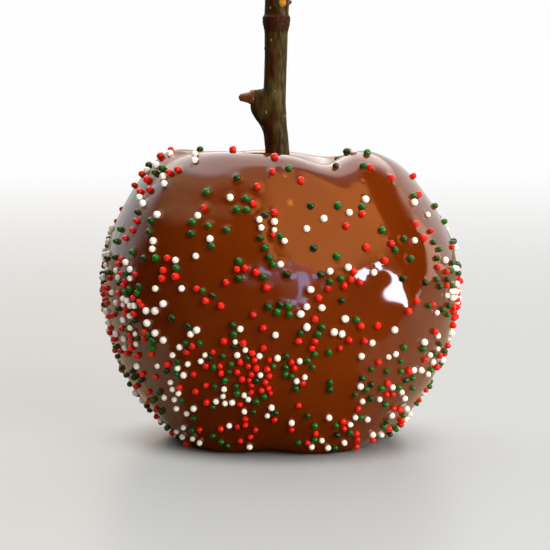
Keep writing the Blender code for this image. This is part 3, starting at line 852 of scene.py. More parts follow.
coat_tree, coat_inputs = uneven_coat_tree()
run_tree(coat, coat_tree, coat_inputs, pearls=pearl_points, broad_size=13 * MM, broad_height=0.34 * MM,
    fine_size=5 * MM, fine_height=0.05 * MM, ring_height=0.1 * MM, ring_start=0.9 * MM, ring_end=1.5 * MM,
    material=chocolate)
count(coat)
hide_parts("coated_apple")
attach(coat, "root")

# %% [markdown]
# ## The nonpareils
#
# Each pearl is a small ball of sugar, hardly bigger than a pinhead, slightly flattened and never quite
# round. One ball of eighty faces is repeated on the points by Instance on Points, with its own size, turn
# and unevenness, and the copies are then made real. The tree runs once for each colour, because each colour
# is a piece of its own.

# %% Sugar shell materials
PEARL_PAINTS = {"red": ("#F01E08", "#C41005"), "green": ("#07661C", "#03260B"),
    "white": ("#FFFAF0", "#F7EEDD")}


def sugar_shell(colour):
    """A polished sugar ball: satin, its tint a little different from one to the next."""
    made, tree, shader, place = new_material(f"sugar_shell_{colour}")
    light, deep = map(paint, PEARL_PAINTS[colour])
    tint = add(tree, "Attribute", attribute_name="tint").outputs["Fac"]
    mixed = add(tree, "Mix", tint, {6: light, 7: deep}, data_type="RGBA").outputs[2]
    grain = fine_bump(tree, place, 0.5 * MM, 1.0, 0.15, 0.2 * MM)
    feed(shader, {"Base Color": mixed, "Normal": grain, "Roughness": 0.32, "IOR": 1.5})
    return made


# %% Geometry Nodes: balls on points
def pearl_tree():
    """Puts an uneven ball on each point of one hue."""
    tree, given, identifiers = geometry_tree("nonpareils", hue="Int", flattest="Float", roundest="Float",
        seed="Int", material="Material")
    hue = add(tree, "InputNamedAttribute", {"Name": "hue"}, data_type="FLOAT")
    other = add(tree, "Compare NOT_EQUAL", hue, given["Hue"], {"Epsilon": 0.1}, data_type="FLOAT")
    chosen = add(tree, "DeleteGeometry", {"Geometry": given[0], "Selection": other})
    tint = add(tree, "RandomValue", {"Seed": given["Seed"]}, data_type="FLOAT")
    tinted = add(tree, "StoreNamedAttribute", {"Geometry": chosen, "Name": "tint", "Value": tint.outputs[1]},
        data_type="FLOAT", domain="POINT")
    ball = add(tree, "MeshIcoSphere", {"Radius": 1.0, "Subdivisions": 2})
    facing = add(tree, "InputNamedAttribute", {"Name": "facing"}, data_type="FLOAT_VECTOR")
    upright = add(tree, "AlignRotationToVector", {"Vector": facing}, axis="Z")
    size = add(tree, "InputNamedAttribute", {"Name": "size"}, data_type="FLOAT")
    uneven = add(tree, "RandomValue", given["Flattest"], given["Roundest"], {"Seed": given["Seed"]},
        data_type="FLOAT_VECTOR")
    scale = add(tree, "VectorMath SCALE", uneven, {"Scale": size})
    balls = add(tree, "InstanceOnPoints", {"Points": tinted, "Instance": ball, "Rotation": upright,
        "Scale": scale})
    close_tree(tree, balls, given["Material"])
    return tree, identifiers


pearls_tree, pearls_inputs = pearl_tree()
for number, colour in enumerate(COLOURS):
    nonpareils = show(f"nonpareils_{colour}", pearl_points.data.copy())
    run_tree(nonpareils, pearls_tree, pearls_inputs, hue=number, flattest=0.92, roundest=1.04,
        seed=number + 5, material=sugar_shell(colour))
    count(nonpareils)
    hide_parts("coated_apple")
    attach(nonpareils, "root")
bpy.data.objects.remove(pearl_points)

# %% [markdown]
# ## The twig
#
# The stick is a live fruit twig, cut with secateurs. Thin bark covers it: dark brown and reddish on the young
# side, grey towards the right, partly from weathering and partly as painted light of the side that the lights
# fall on, with a touch of green. It is wider at its leaf nodes, where old scars ring it, and low on the left
# a short spur ends in a bud. A loft along the twig's line gives the stem, and the spur's stub is joined to it
# by a voxel remesh, which also rounds the corner between them as growing wood does. A tree then wrinkles the
# bark.

# %% Stem and spur
TWIG_SIDES = 64
TWIG_STEP = 0.3 * MM
SCAR_HEIGHTS = (94.4 * MM, 121.0 * MM)  # the leaf nodes, where rings of old bud scars go round the twig
SCAR_REACH = 1.9 * MM
SCAR_SWELLING = 0.42 * MM
SCAR_RISE, SCAR_LIP = (-1.2, 0.5), (1.25, 0.8)  # where it starts and is full, as a share of the reach
SCAR_TINT = (1.1, 0.75)  # and where its colour does
RIDGE_FOOT = 65.0 * MM
RIDGE_TOP = 76.4 * MM
RIDGE_END = 79.5 * MM
RIDGE_HEIGHT = 2.9 * MM
RIDGE_AZIMUTH = 180.0
RIDGE_WIDTH = 34.0
SPUR_HEIGHT = 78.2 * MM
SPUR_LENGTH = 5.0 * MM
SPUR_RADIUS = 1.75 * MM
SPUR_TAPER = (1.12, 0.82)  # of that radius, at its foot and at its end
BARK_VOXEL = 0.2 * MM


def twig_swelling(height, azimuth):
    """What the leaf nodes and the ridge under the spur add to the twig's radius."""
    swelling = 0.0
    for at in SCAR_HEIGHTS:  # grows slowly from below and ends in a lip
        rise = smooth_step(*(at + share * SCAR_REACH for share in SCAR_RISE), height)
        lip = smooth_step(*(at + share * SCAR_REACH for share in SCAR_LIP), height)
        swelling = swelling + SCAR_SWELLING * rise * lip
    rise = smooth_step(RIDGE_FOOT, RIDGE_TOP, height) ** 3
    fall = smooth_step(RIDGE_END, RIDGE_TOP, height)
    off_ridge = (azimuth - RIDGE_AZIMUTH + 180) % 360 - 180
    return swelling + RIDGE_HEIGHT * rise * fall * np.exp(-((off_ridge / RIDGE_WIDTH) ** 2))


def stem_mesh():
    """The stem, lofted up the twig's line."""
    low, high = TWIG_STATIONS[0, 0], TWIG_STATIONS[-1, 0]
    heights = np.linspace(low, high, int((high - low) / TWIG_STEP))
    azimuths = np.arange(TWIG_SIDES) * 360.0 / TWIG_SIDES
    line = twig_station(heights)
    high_grid, azimuth_grid = np.meshgrid(heights, azimuths, indexing="ij")
    reach = line[:, 2:] + twig_swelling(high_grid, azimuth_grid)
    turn = np.radians(azimuth_grid)
    x, y = line[:, :1] + reach * np.cos(turn), line[:, 1:2] + reach * np.sin(turn)
    points = np.stack((x, y, high_grid), -1).reshape(-1, 3)
    faces = skin_faces(len(heights), TWIG_SIDES, flipped=True)
    faces.append(tuple(reversed(range(TWIG_SIDES))))
    faces.append(tuple(range(len(points) - TWIG_SIDES, len(points))))
    return mesh_object("twig_bark", points, faces)


def out_of_twig(height, azimuth, start, tilt):
    """A matrix that stands a shape on the twig: its Z leans out of the stem."""
    x, y, _ = twig_station(height)
    turn = math.radians(azimuth)
    out = Vector((math.cos(turn) * math.cos(tilt), math.sin(turn) * math.cos(tilt), math.sin(tilt)))
    foot = Vector((x, y, height)) + out * start
    return Matrix.Translation(foot) @ out.to_track_quat("Z", "Y").to_matrix().to_4x4()


def grow_spur(stem):
    """Adds the stub that the left bud sits on."""
    shape = bmesh.new()
    shape.from_mesh(stem.data)
    foot = out_of_twig(SPUR_HEIGHT, RIDGE_AZIMUTH, 0.0, 0.0)
    bmesh.ops.create_cone(shape, cap_ends=True, segments=32, radius1=SPUR_RADIUS * SPUR_TAPER[0],
        radius2=SPUR_RADIUS * SPUR_TAPER[1], depth=SPUR_LENGTH,
        matrix=foot @ Matrix.Translation((0, 0, SPUR_LENGTH / 2)))
    shape.to_mesh(stem.data)
    shape.free()


def cut_end(obj):
    """Cuts the twig's top off at a slant and closes it."""
    x, y, _ = twig_station(CUT_HEIGHT)
    shape = bmesh.new()
    shape.from_mesh(obj.data)
    everything = shape.verts[:] + shape.edges[:] + shape.faces[:]
    slant = (math.sin(CUT_TILT), 0, math.cos(CUT_TILT))
    middle = (x, y, CUT_HEIGHT)
    cut = bmesh.ops.bisect_plane(shape, geom=everything, plane_co=middle, plane_no=slant, clear_outer=True)
    rim = [edge for edge in cut["geom_cut"] if isinstance(edge, bmesh.types.BMEdge)]
    bmesh.ops.holes_fill(shape, edges=rim, sides=0)
    shape.to_mesh(obj.data)
    shape.free()


def melt_together(obj):
    """Turns overlapping shapes into one skin with eased corners, as growing wood has them."""
    melt = obj.modifiers.new("melt", "REMESH")
    melt.mode = "VOXEL"
    melt.voxel_size = BARK_VOXEL
    round_off = obj.modifiers.new("round_off", "SMOOTH")
    round_off.iterations = 4
    bpy.context.view_layer.update()
    melted = bpy.data.meshes.new_from_object(obj.evaluated_get(bpy.context.evaluated_depsgraph_get()))
    obj.modifiers.clear()
    obj.data = melted


twig = stem_mesh()
grow_spur(twig)
cut_end(twig)
melt_together(twig)
count(twig)


# %% Bark material
def near_scars(tree, height):
    """A mask in a node tree: 1 at the heights of the leaf nodes' scars, 0 away from them."""
    mask = None
    for at in SCAR_HEIGHTS:
        apart = add(tree, "Math SUBTRACT", height, at)
        away = add(tree, "Math ABSOLUTE", apart)
        near = add(tree, "MapRange", {"Value": away, "From Min": SCAR_REACH * SCAR_TINT[0],
            "From Max": SCAR_REACH * SCAR_TINT[1]}, interpolation_type="SMOOTHSTEP")
        mask = near if mask is None else add(tree, "Math MAXIMUM", mask, near)
    return mask


def bark():
    """Thin bark of a young fruit twig, in long streaks: satin brown, and grey towards the right, partly from
    weathering and partly painted light of the lit side.
    """
    made, tree, shader, place = new_material("twig_bark")
    parts = add(tree, "SeparateXYZ", place)
    # the colours across the twig, brown on the left to olive on the right, are partly the bark's own and
    # partly painted light of the lit side
    across = add(tree, "MapRange", {"Value": parts.outputs["X"], "From Min": -3.6 * MM,
        "From Max": 1.8 * MM})
    brown = colour_ramp(tree, across, ((0.0, "#3C240E"), (0.42, "#442502"), (0.62, "#372A08"),
        (1.0, "#322910")))
    long_way = add(tree, "Mapping", {"Vector": place, "Scale": (1.0, 1.0, 0.22)})
    streaks = add(tree, "TexNoise", {"Vector": long_way, "Scale": 1 / (1.1 * MM), "Detail": 5.0})
    shade = colour_ramp(tree, streaks, ((0.3, "#8C8780"), (0.5, "#C4BDB2"), (0.7, "#FFFFFF")))
    patches = add(tree, "TexNoise", {"Vector": place, "Scale": 1 / (5 * MM), "Detail": 2.0})
    lichen = add(tree, "MapRange", {"Value": patches, "From Min": 0.5, "From Max": 0.75})
    olive = add(tree, "Mix", lichen, {6: brown, 7: paint("#4A4620")}, data_type="RGBA")
    streaked = add(tree, "Mix", 1.0, {6: olive.outputs[2], 7: shade}, data_type="RGBA",
        blend_type="MULTIPLY")
    flecks = add(tree, "TexNoise", {"Vector": long_way, "Scale": 1 / (0.55 * MM), "Detail": 3.0})
    fleck = add(tree, "MapRange", {"Value": flecks, "From Min": 0.42, "From Max": 0.66, "To Max": 0.5})
    # partly painted light: the grey flecks thicken towards the right, the lit side, besides the bark's
    # weathering
    weather_and_lit_side = add(tree, "MapRange", {"Value": across, "From Min": 0.35, "From Max": 0.75})
    worn_and_lit_flecks = add(tree, "Math MULTIPLY", fleck, weather_and_lit_side)
    weathered_and_lit = add(tree, "Mix", worn_and_lit_flecks, {6: streaked.outputs[2], 7: paint("#5E5438")}, data_type="RGBA")
    patchy = add(tree, "MapRange", {"Value": patches, "From Min": 0.35, "From Max": 0.65, "To Min": 0.95,
        "To Max": 0.6})
    scars = add(tree, "Math MULTIPLY", near_scars(tree, parts.outputs["Z"]), patchy)
    ringed = add(tree, "Mix", scars, {6: weathered_and_lit.outputs[2], 7: paint("#2C0E06")}, data_type="RGBA")
    cracks = fine_bump(tree, long_way, 0.35 * MM, 3.0, 0.5, 0.15 * MM)
    feed(shader, {"Base Color": ringed.outputs[2], "Normal": cracks, "Roughness": 0.55,
        "Specular IOR Level": 0.12})
    return made


# %% Geometry Nodes: wrinkles and ring scars
def wrinkled_bark_tree():
    """Moves the bark in long wrinkles, and in close rings at the leaf nodes."""
    tree, given, identifiers = geometry_tree("wrinkled_bark", wrinkle_width="Float", wrinkle_stretch="Float",
        wrinkle_depth="Float", ring_spacing="Float", ring_depth="Float", seed="Float", material="Material")
    place = add(tree, "InputPosition")
    parts = add(tree, "SeparateXYZ", place)
    flat = add(tree, "Math DIVIDE", parts.outputs["Z"], given["Wrinkle stretch"])
    drawn = add(tree, "CombineXYZ", parts.outputs["X"], parts.outputs["Y"], flat)
    scale = add(tree, "Math DIVIDE", 1.0, given["Wrinkle width"])
    wrinkles = add(tree, "TexNoise", {"Vector": drawn, "Scale": scale, "W": given["Seed"], "Detail": 2.0},
        noise_dimensions="4D")
    centred = add(tree, "Math SUBTRACT", wrinkles, 0.5)
    wrinkle = add(tree, "Math MULTIPLY", centred, given["Wrinkle depth"])
    turns = add(tree, "Math DIVIDE", parts.outputs["Z"], given["Ring spacing"])
    swayed = add(tree, "Math MULTIPLY_ADD", wrinkles, 2.6, turns)
    phase = add(tree, "Math MULTIPLY", swayed, 2 * math.pi)
    wave = add(tree, "Math SINE", phase)
    ring = add(tree, "Math MULTIPLY", wave, given["Ring depth"])
    scars = near_scars(tree, parts.outputs["Z"])
    rings = add(tree, "Math MULTIPLY_ADD", ring, scars, wrinkle)
    normal = add(tree, "InputNormal")
    shift = add(tree, "VectorMath SCALE", normal, {"Scale": rings})
    moved = add(tree, "SetPosition", {"Geometry": given[0], "Offset": shift})
    close_tree(tree, moved, given["Material"])
    return tree, identifiers


def dress_twig(piece):
    """Says that a piece stands for the twig's solid."""
    count(piece)
    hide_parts("twig")
    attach(piece, "root")


bark_tree, bark_inputs = wrinkled_bark_tree()
run_tree(twig, bark_tree, bark_inputs, wrinkle_width=0.9 * MM, wrinkle_stretch=4.0, wrinkle_depth=0.34 * MM,
    ring_spacing=0.8 * MM, ring_depth=0.04 * MM, seed=4.0, material=bark())
dress_twig(twig)

# %% [markdown]
# ## Lenticels
#
# Pale corky dots, which let the twig breathe, break the bark. They are scattered by Distribute Points on
# Faces, with a fixed seed, only where the twig stands clear of the chocolate.

# %% Geometry Nodes: lenticels
LENTICELS_FROM = 70.0 * MM


def lenticel_tree():
    """Flat corky dots on the bark above a height."""
    tree, given, identifiers = geometry_tree("lenticels", density="Float", lowest="Float", width="Float",
        seed="Int", material="Material")
    height = add(tree, "SeparateXYZ", add(tree, "InputPosition"))
    above = add(tree, "Compare GREATER_THAN", height.outputs["Z"], given["Lowest"], data_type="FLOAT")
    points = add(tree, "DistributePointsOnFaces",
        {"Mesh": given[0], "Selection": above, "Density": given["Density"], "Seed": given["Seed"]})
    dot = add(tree, "MeshIcoSphere", {"Radius": 1.0, "Subdivisions": 2})
    uneven = add(tree, "RandomValue", (0.7, 1.0, 0.3), (1.0, 1.7, 0.45), {"Seed": given["Seed"]},
        data_type="FLOAT_VECTOR")
    half = add(tree, "Math MULTIPLY", given["Width"], 0.5)
    scale = add(tree, "VectorMath SCALE", uneven, {"Scale": half})
    dots = add(tree, "InstanceOnPoints", {"Points": points.outputs["Points"], "Instance": dot,
        "Rotation": points.outputs["Rotation"], "Scale": scale})
    close_tree(tree, dots, given["Material"])
    return tree, identifiers


def cork():
    """Corky tissue: pale, matt and crumbly."""
    made, tree, shader, place = new_material("lenticel_cork")
    grain = add(tree, "TexNoise", {"Vector": place, "Scale": 1 / (0.8 * MM), "Detail": 2.0})
    pale = colour_ramp(tree, grain, ((0.35, "#564C38"), (0.65, "#7E7258")))
    feed(shader, {"Base Color": pale, "Roughness": 0.8})
    return made


lenticels = show("twig_lenticels", twig.data.copy())
dots_tree, dots_inputs = lenticel_tree()
run_tree(lenticels, dots_tree, dots_inputs, density=0.035 / MM**2, lowest=LENTICELS_FROM, width=0.46 * MM,
    seed=3, material=cork())
dress_twig(lenticels)

# %% [markdown]
# ## Buds
#
# A winter bud is a blunt egg wrapped in scales. Each scale lies over the next one in and ends in a rounded
# point, so the bud's skin goes down in thin steps towards its tip. Here a bud is a lathed egg, and each
# scale lifts the part of the egg that it covers by its thickness.

# %% Buds
BUD_RINGS = 54
BUD_SIDES = 72
SCALE_BLUNTNESS = 2.4
SCALE_EDGE = 0.10  # the share of a scale's half width over which its edge thins out
MARGIN_SHARES = (0.30, 0.02)  # and over which its margin turns pale
# A bud's reach in mm, at even steps from its base to its tip
SPUR_EGG = (0.0, 1.25, 1.42, 1.36, 1.22, 1.12, 1.05, 0.94, 0.82, 0.74, 0.0)
FREE_EGG = (0.0, 0.66, 0.96, 1.10, 1.14, 1.10, 0.99, 0.82, 0.62, 0.40, 0.0)
SCALES = (  # azimuth on the bud, where the scale ends on the way to the tip, half its width, thickness in mm
    (90, 0.33, 70, 0.24),
    (268, 0.44, 100, 0.10),
    (5, 0.60, 95, 0.09),
    (178, 0.68, 95, 0.08),
    (80, 0.82, 90, 0.07),
    (262, 0.93, 90, 0.05),
)
BUDS = (  # height, azimuth, start, length in mm, breadth, tilt, egg, share of ochre: 0 red brown, 1 ochre, whose bright middle is partly a painted highlight
    (77.8, 180.0, 4.2, 4.0, 1.0, 1, SPUR_EGG, 0.12),
    (97.1, 304.0, 1.4, 3.4, 0.92, 48, FREE_EGG, 1.0),
    (98.7, 352.0, 1.6, 2.0, 0.62, 14, FREE_EGG, 0.0),
    (122.8, 60.0, 1.2, 3.4, 0.98, 52, FREE_EGG, 0.5),
)


def bud_surface():
    """Shares along and around a bud, with how far the scales lift it and where their margins are."""
    along = np.linspace(0, 1, BUD_RINGS + 1)[1:-1]
    around = np.arange(BUD_SIDES) * 360.0 / BUD_SIDES
    along, around = np.meshgrid(along, around, indexing="ij")
    lift, margin = np.zeros_like(along), np.zeros_like(along)
    for azimuth, tip, half_width, thickness in reversed(SCALES):
        off = np.abs((around - azimuth + 180) % 360 - 180)
        room = half_width * np.sqrt(np.clip(1 - (along / tip) ** SCALE_BLUNTNESS, 0, 1))
        inside = (room - off) / half_width
        cover = smooth_step(0.0, SCALE_EDGE, inside)
        lift = lift + thickness * MM * cover
        margin = margin * (1 - cover) + cover * smooth_step(*MARGIN_SHARES, inside)
    return along, around, lift, margin


def add_bud(columns, height, azimuth, start, length, breadth, tilt, egg, ochre_and_highlight_share):
    """Adds one bud's points, faces and attributes to the columns of the mesh to be."""
    along, around, lift, margin = bud_surface()
    reach = breadth * (MM * smooth_curve(np.linspace(0, 1, len(egg)), egg, along) + lift)
    turn = np.radians(around)
    local = np.stack((reach * np.cos(turn), reach * np.sin(turn), length * MM * along), -1).reshape(-1, 3)
    local = np.concatenate((local, ((0, 0, 0), (0, 0, length * MM))))
    place = np.array(out_of_twig(height * MM, azimuth, start * MM, math.radians(tilt)))
    points, faces, tips, margins, ripe = columns
    first = len(points)
    points.extend((local @ place[:3, :3].T + place[:3, 3]).tolist())
    faces += skin_faces(BUD_RINGS - 1, BUD_SIDES, (len(points) - 2, len(points) - 1), first, flipped=True)
    tips.extend((*along.ravel(), 0.0, 1.0))
    margins.extend((*margin.ravel(), 0.0, 0.0))
    ripe.extend([ochre_and_highlight_share] * len(local))


def bud_scales():
    """Bud scales: thin, leathery and a little shiny, dark red at the tip, with a paler, downy margin."""
    made, tree, shader, place = new_material("bud_scales")
    tip, margin, ripe = (add(tree, "Attribute", attribute_name=name).outputs["Fac"]
        for name in ("along", "margin", "ripe"))
    red = colour_ramp(tree, tip, ((0.15, "#57290D"), (0.6, "#4E1A0A"), (0.78, "#220605")))
    # the ochre is partly the bud's colour and partly a painted highlight: bright in its middle, darker at
    # base and tip
    ochre = colour_ramp(tree, tip, ((0.2, "#4A2006"), (0.5, "#A9680E"), (0.72, "#C28A14"),
        (0.95, "#8A4A0C")))
    body = add(tree, "Mix", ripe, {6: red, 7: ochre}, data_type="RGBA")
    edge = add(tree, "Math MULTIPLY", margin, 0.35)
    rimmed = add(tree, "Mix", edge, {6: body.outputs[2], 7: paint("#8A6A48")}, data_type="RGBA")
    veins = fine_bump(tree, place, 0.4 * MM, 2.0, 0.35, 0.12 * MM)
    feed(shader, {"Base Color": rimmed.outputs[2], "Normal": veins, "Roughness": 0.42})
    return made


bud_columns = [], [], [], [], []
for bud in BUDS:
    add_bud(bud_columns, *bud)
buds = mesh_object("twig_buds", bud_columns[0], bud_columns[1], along=bud_columns[2], margin=bud_columns[3],
    ripe=bud_columns[4])
buds.data.materials.append(bud_scales())
dress_twig(buds)

# %% [markdown]
# ## The cut across the twig
#
# Secateurs leave a smooth slanting cut. It shows the pith in the middle, pale wood with fine growth rings, a
# thin green line of living bark and the brown bark round it. The disc follows the twig's own outline in the
# plane of the cut.

# %% Cut wood
CUT_RINGS = 14
CUT_SIDES = 72
CUT_WIDTH = 0.9  # the wood's share of the twig's radius
CUT_PROUD = 0.07 * MM
CUT_DOME = 1.4  # its middle stands this many times CUT_PROUD high, and its rim one time less
CUT_DEEP = 0.5 * MM
CUT_STEPS = 12  # each one brings the rim's height closer to the plane


def cut_wood_mesh():
    """A disc in the plane of the cut, slightly domed, with a rim that goes down into the bark."""
    turn = np.arange(CUT_SIDES) * 2 * math.pi / CUT_SIDES
    x0, y0, _ = twig_station(CUT_HEIGHT)
    centre = np.array((x0, y0, CUT_HEIGHT))
    out = np.array((math.sin(CUT_TILT), 0, math.cos(CUT_TILT)))
    height = np.full(CUT_SIDES, CUT_HEIGHT)
    for _ in range(CUT_STEPS):
        line = twig_station(height)
        x, y = line[:, 0] + line[:, 2] * np.cos(turn), line[:, 1] + line[:, 2] * np.sin(turn)
        height = CUT_HEIGHT - (x - x0) * math.tan(CUT_TILT)
    rim = np.stack((x, y, height), -1) - centre
    shares = np.linspace(0, 1, CUT_RINGS + 1)[1:]
    rings = [centre + CUT_WIDTH * share * rim + out * CUT_PROUD * (CUT_DOME - share**4) for share in shares]
    rings.append(centre + CUT_WIDTH * rim - out * CUT_DEEP)
    points = np.concatenate(rings).tolist()
    points += [(centre + out * CUT_PROUD * CUT_DOME).tolist(), (centre - out * CUT_DEEP).tolist()]
    ring_share = np.repeat([*shares, 1.0], CUT_SIDES)
    faces = skin_faces(CUT_RINGS + 1, CUT_SIDES, (len(points) - 2, len(points) - 1))
    return mesh_object("twig_cut_wood", points, faces, ring=np.append(ring_share, (0.0, 0.0)))


def cut_wood():
    """Fresh-cut fruit wood: pith, cream wood with growth rings, a green line and a brown edge."""
    made, tree, shader, place = new_material("cut_wood")
    share = add(tree, "Attribute", attribute_name="ring").outputs["Fac"]
    rough = add(tree, "TexNoise", {"Vector": place, "Scale": 1 / (0.5 * MM), "Detail": 3.0})
    swayed = add(tree, "Math MULTIPLY_ADD", rough, 0.1, share)
    wood = colour_ramp(tree, swayed, ((0.1, "#8A7048"), (0.17, "#C9AE7C"), (0.38, "#D9C596"),
        (0.44, "#B99A66"), (0.49, "#D9C596"), (0.72, "#D2BC88"), (0.78, "#AF8F5C"), (0.84, "#CDB682"),
        (0.95, "#7D8440"), (1.0, "#4A3216")))
    bump = add(tree, "Bump", {"Height": rough, "Strength": 0.3, "Distance": 0.1 * MM})
    feed(shader, {"Base Color": wood, "Normal": bump, "Roughness": 0.65})
    return made


wood = cut_wood_mesh()
wood.data.materials.append(cut_wood())
dress_twig(wood)

# %% [markdown]
# ## Floor and light
#
# The object stands on a plain pale table. The photograph's light is a bright room behind the apple and
# overhead, a dark room in front, and a window on the right whose panes show as a sharp highlight on the
# chocolate.

# %% Floor
TABLE_RADIUS = 6.0
# Painted reflection: for glossy rays only, the table is painted dark on the camera's side, so that the coat
# mirrors it dark there. Each row is a side, left or right, and the degrees from the camera's direction to the
# dark's end, near the apple and far off.
DARK_SIDES = ((-1.0, 60.0, 122.0), (1.0, 45.0, 98.0))
DARK_DISTANCES = (0.07, 0.16)  # metres that count as near and far there
DARK_EDGE = 10.0  # degrees over which the dark ends
TABLE_SHEEN = 0.15
PAINTED_GLOW_FADES = ((0.023, 0.042, 0.36), (0.10, 1.1, 0.64))  # metres from and to, and how far the table fades to white, as a painted glow that is nil by the apple's foot


def floor():
    """A wide pale table top. To the eye it fades to white far away, a painted glow that is nil by the apple's
    foot; to the gloss it is painted dark on the camera's side.
    """
    made, tree, shader, place = new_material("pale_table")
    path = add(tree, "LightPath")
    parts = add(tree, "SeparateXYZ", place)
    far = add(tree, "VectorMath LENGTH", place)
    front = add(tree, "Math MULTIPLY", parts.outputs["Y"], -1.0)
    turn = add(tree, "Math ARCTAN2", parts.outputs["X"], front)
    sides = []
    near_by, far_off = DARK_DISTANCES
    for sign, near_limit, far_limit in DARK_SIDES:
        limit = add(tree, "MapRange", {"Value": far.outputs["Value"], "From Min": near_by,
            "From Max": far_off, "To Min": near_limit, "To Max": far_limit})
        soft = add(tree, "Math SUBTRACT", limit, DARK_EDGE)
        off = add(tree, "Math MULTIPLY", turn, math.degrees(sign))
        sides.append(add(tree, "MapRange", {"Value": off, "From Min": limit, "From Max": soft},
            interpolation_type="SMOOTHSTEP"))
    # painted reflection: glossy rays see the table warmer, and dark on the camera's side
    painted_dark_side = add(tree, "Math MULTIPLY", sides[0], sides[1])
    dark = add(tree, "Math MULTIPLY", painted_dark_side, path.outputs["Is Glossy Ray"])
    pale = add(tree, "Mix", path.outputs["Is Glossy Ray"], {6: paint("#8C908F"), 7: paint("#ADA186")},
        data_type="RGBA")
    top = add(tree, "Mix", dark, {6: pale.outputs[2], 7: paint("#241D18")}, data_type="RGBA")
    # the table shines for the eye only, so that the coat mirrors no second window in it
    sheen = add(tree, "Math MULTIPLY_ADD", path.outputs["Is Glossy Ray"], -TABLE_SHEEN, TABLE_SHEEN)
    feed(shader, {"Base Color": top.outputs[2], "Specular IOR Level": sheen, "Roughness": 0.35})
    # painted light: to the eye the table glows, not at all by the apple's foot, so that the shadow there
    # stays tight, and up to white far off
    fades = []
    for start, end, most in PAINTED_GLOW_FADES:
        fades.append(add(tree, "MapRange", {"Value": far.outputs["Value"], "From Min": start,
            "From Max": end, "To Max": most}, interpolation_type="SMOOTHSTEP"))
    fade = add(tree, "Math ADD", fades[0], fades[1])
    share = add(tree, "Math MULTIPLY", fade, path.outputs["Is Camera Ray"])
    painted_glow = add(tree, "Emission", {"Color": paint("#FEFEFE"), "Strength": 1.0})
    mixed = add(tree, "MixShader", share, shader, painted_glow)
    feed(tree.nodes["Material Output"], {"Surface": mixed})
    mesh = bpy.data.meshes.new("table")
    shape = bmesh.new()
    bmesh.ops.create_circle(shape, cap_ends=True, segments=96, radius=TABLE_RADIUS)
    shape.to_mesh(mesh)
    shape.free()
    mesh.materials.append(made)
    table = show("table", mesh)


floor()


# %% World and lights
# The room as the chocolate mirrors it. A direction is an azimuth, 0 towards the camera and growing to the
# right, and an elevation, both in degrees. Each patch has a radiance, a colour and its edges. An edge is a
# line across azimuth and elevation: (share of azimuth, share of elevation, value where the patch starts,
# value where it is full).
ROOM_PATCHES = (
    ("low_right", 1.05, "#FAFAF4", ((1, 0, 126, 136), (0, 1, -8, -2), (0, -1, -40, -22))),
    ("band", 3.0, "#FFDCC0", ((1, -0.5, 105, 110), (-1, 0, -144, -128), (0, 1, -6, -2), (0, -1, -27, -19))),
    ("low_left", 0.95, "#F2FAF8", ((-1, 0, 103, 128), (1, 0, -190, -160), (0, 1, -8, -2), (0, -1, -40, -20))),
    ("high_left", 3.4, "#FDFBF6", ((-1, 0.2, 118, 150), (0, 1, 15, 27), (0, -1, -62, -48))),
    ("high_right", 3.6, "#FDF8F2", ((1, 0.3, 130, 158), (0, 1, 15, 26), (0, -1, -62, -48))),
    ("above_right", 3.1, "#FBF6F4", ((1, 0, 114, 144), (0, 1, 40, 47))),
    ("above_left", 2.2, "#FFFCF6", ((-0.35, 1, 77, 91), (-1, 0, 30, 80))),
    ("overhead", 0.6, "#FFF8F0", ((0, 1, 58, 68),)),
)
MIRRORED_PATCHES = (  # these light nothing, and only show in the gloss
    ("above_left_gloss", 3.8, "#FCF8F6", ((-0.35, 1, 75, 86), (-1, 0, 30, 80))),
    ("overhead_left", 1.7, "#FFCF9C", ((-0.35, 1, 66, 76), (-1, 0, 5, 35))),
    ("amber", 3.6, "#FFAC62", ((1, 0.45, 0, 14), (-1, 0.15, -92, -88), (0, 1, 8, 25), (0, -1, -84, -72))),
    ("amber_low", 0.6, "#FFA040", ((1, 0, 15, 35), (-1, 0, -92, -88), (0, 1, -2, 0), (0, -1, -24, -12))),
    ("haze", 0.8, "#CDF0FF", ((1, 0, -16, -8), (-1, 0, -18, -10), (0, 1, 0, 6), (0, -1, -30, -22))),
    ("glass_high", 7.0, "#9CC4FF", ((1, 0, -10, -8), (-1, 0, 2, 4), (0, 1, 10, 12), (0, -1, -25, -23))),
    ("glass_low", 7.0, "#9CC4FF", ((1, 0, -1, 1), (-1, 0, -10, -8), (0, 1, 0, 1), (0, -1, -15, -14))),
    ("window", 28, "#E4ECFF", ((1, 0, 51, 52), (-1, 0, -78, -77), (0, 1, 1, 2), (0, -1, -12, -11))),
)


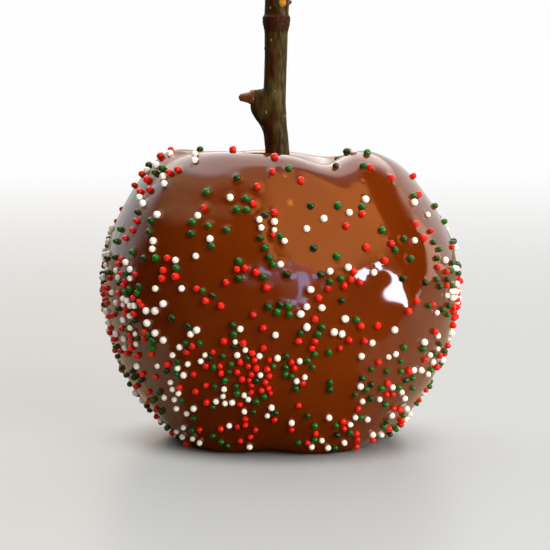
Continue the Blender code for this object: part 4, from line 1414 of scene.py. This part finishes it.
def room():
    """White to the camera. To the object bright behind and dark in front, with a warm patch on the right."""
    world = bpy.data.worlds.new("room")
    world.use_nodes = True
    tree = world.node_tree
    way = add(tree, "TexCoord").outputs["Generated"]
    parts = add(tree, "SeparateXYZ", way)
    front = add(tree, "Math MULTIPLY", parts.outputs["Y"], -1.0)
    turn = add(tree, "Math ARCTAN2", parts.outputs["X"], front)
    rise = add(tree, "Math ARCSINE", parts.outputs["Z"])
    azimuth, elevation = (add(tree, "Math DEGREES", radians) for radians in (turn, rise))
    path = add(tree, "LightPath")
    total = None
    for number, (_, radiance, colour, edges) in enumerate(ROOM_PATCHES + MIRRORED_PATCHES):
        level = radiance
        if number >= len(ROOM_PATCHES):
            level = add(tree, "Math MULTIPLY", path.outputs["Is Glossy Ray"], radiance)
        for azimuth_share, elevation_share, start, full in edges:
            across = add(tree, "Math MULTIPLY", azimuth, float(azimuth_share))
            line = add(tree, "Math MULTIPLY_ADD", elevation, float(elevation_share), across)
            edge = add(tree, "MapRange", {"Value": line, "From Min": float(start), "From Max": float(full)},
                interpolation_type="SMOOTHSTEP")
            level = add(tree, "Math MULTIPLY", edge, level)
        tinted = add(tree, "VectorMath SCALE", paint(colour)[:3], {"Scale": level})
        total = tinted if total is None else add(tree, "VectorMath MAXIMUM", total, tinted)
    seen = path.outputs["Is Camera Ray"]
    shown = add(tree, "Mix", seen, {6: total, 7: paint("#FEFEFE")}, data_type="RGBA")
    feed(tree.nodes["Background"], {"Color": shown.outputs[2]})
    bpy.context.scene.world = world


AIM = Vector((0, 0, 0.04))  # where the lights point


def softbox(name, azimuth, elevation, distance, size, radiance, colour, mirrored=True):
    """A rectangular area light that faces the apple. Its size is in degrees as the apple sees it."""
    turn, rise = math.radians(azimuth), math.radians(elevation)
    way = Vector((math.sin(turn) * math.cos(rise), -math.cos(turn) * math.cos(rise), math.sin(rise)))
    light = bpy.data.lights.new(name, "AREA")
    light.shape = "RECTANGLE"
    light.size, light.size_y = (2 * distance * math.tan(math.radians(side) / 2) for side in size)
    light.energy = radiance * math.pi * light.size * light.size_y
    light.color = paint(colour)[:3]
    lamp = show(name, light)
    lamp.location = AIM + way * distance
    lamp.rotation_euler = way.to_track_quat("Z", "Y").to_euler()
    lamp.visible_camera = False
    lamp.visible_glossy = mirrored


room()
softbox("window_light", 76, 10, 0.8, (16, 16), 8, "#F4F6FF", mirrored=False)
softbox("key", 38, 27, 0.9, (34, 26), 10.5, "#FFFCF8", mirrored=False)
softbox("low_fill", 14, 4, 0.9, (40, 14), 6.8, "#FFFCF8", mirrored=False)

bpy.context.scene.view_settings.view_transform = "Standard"
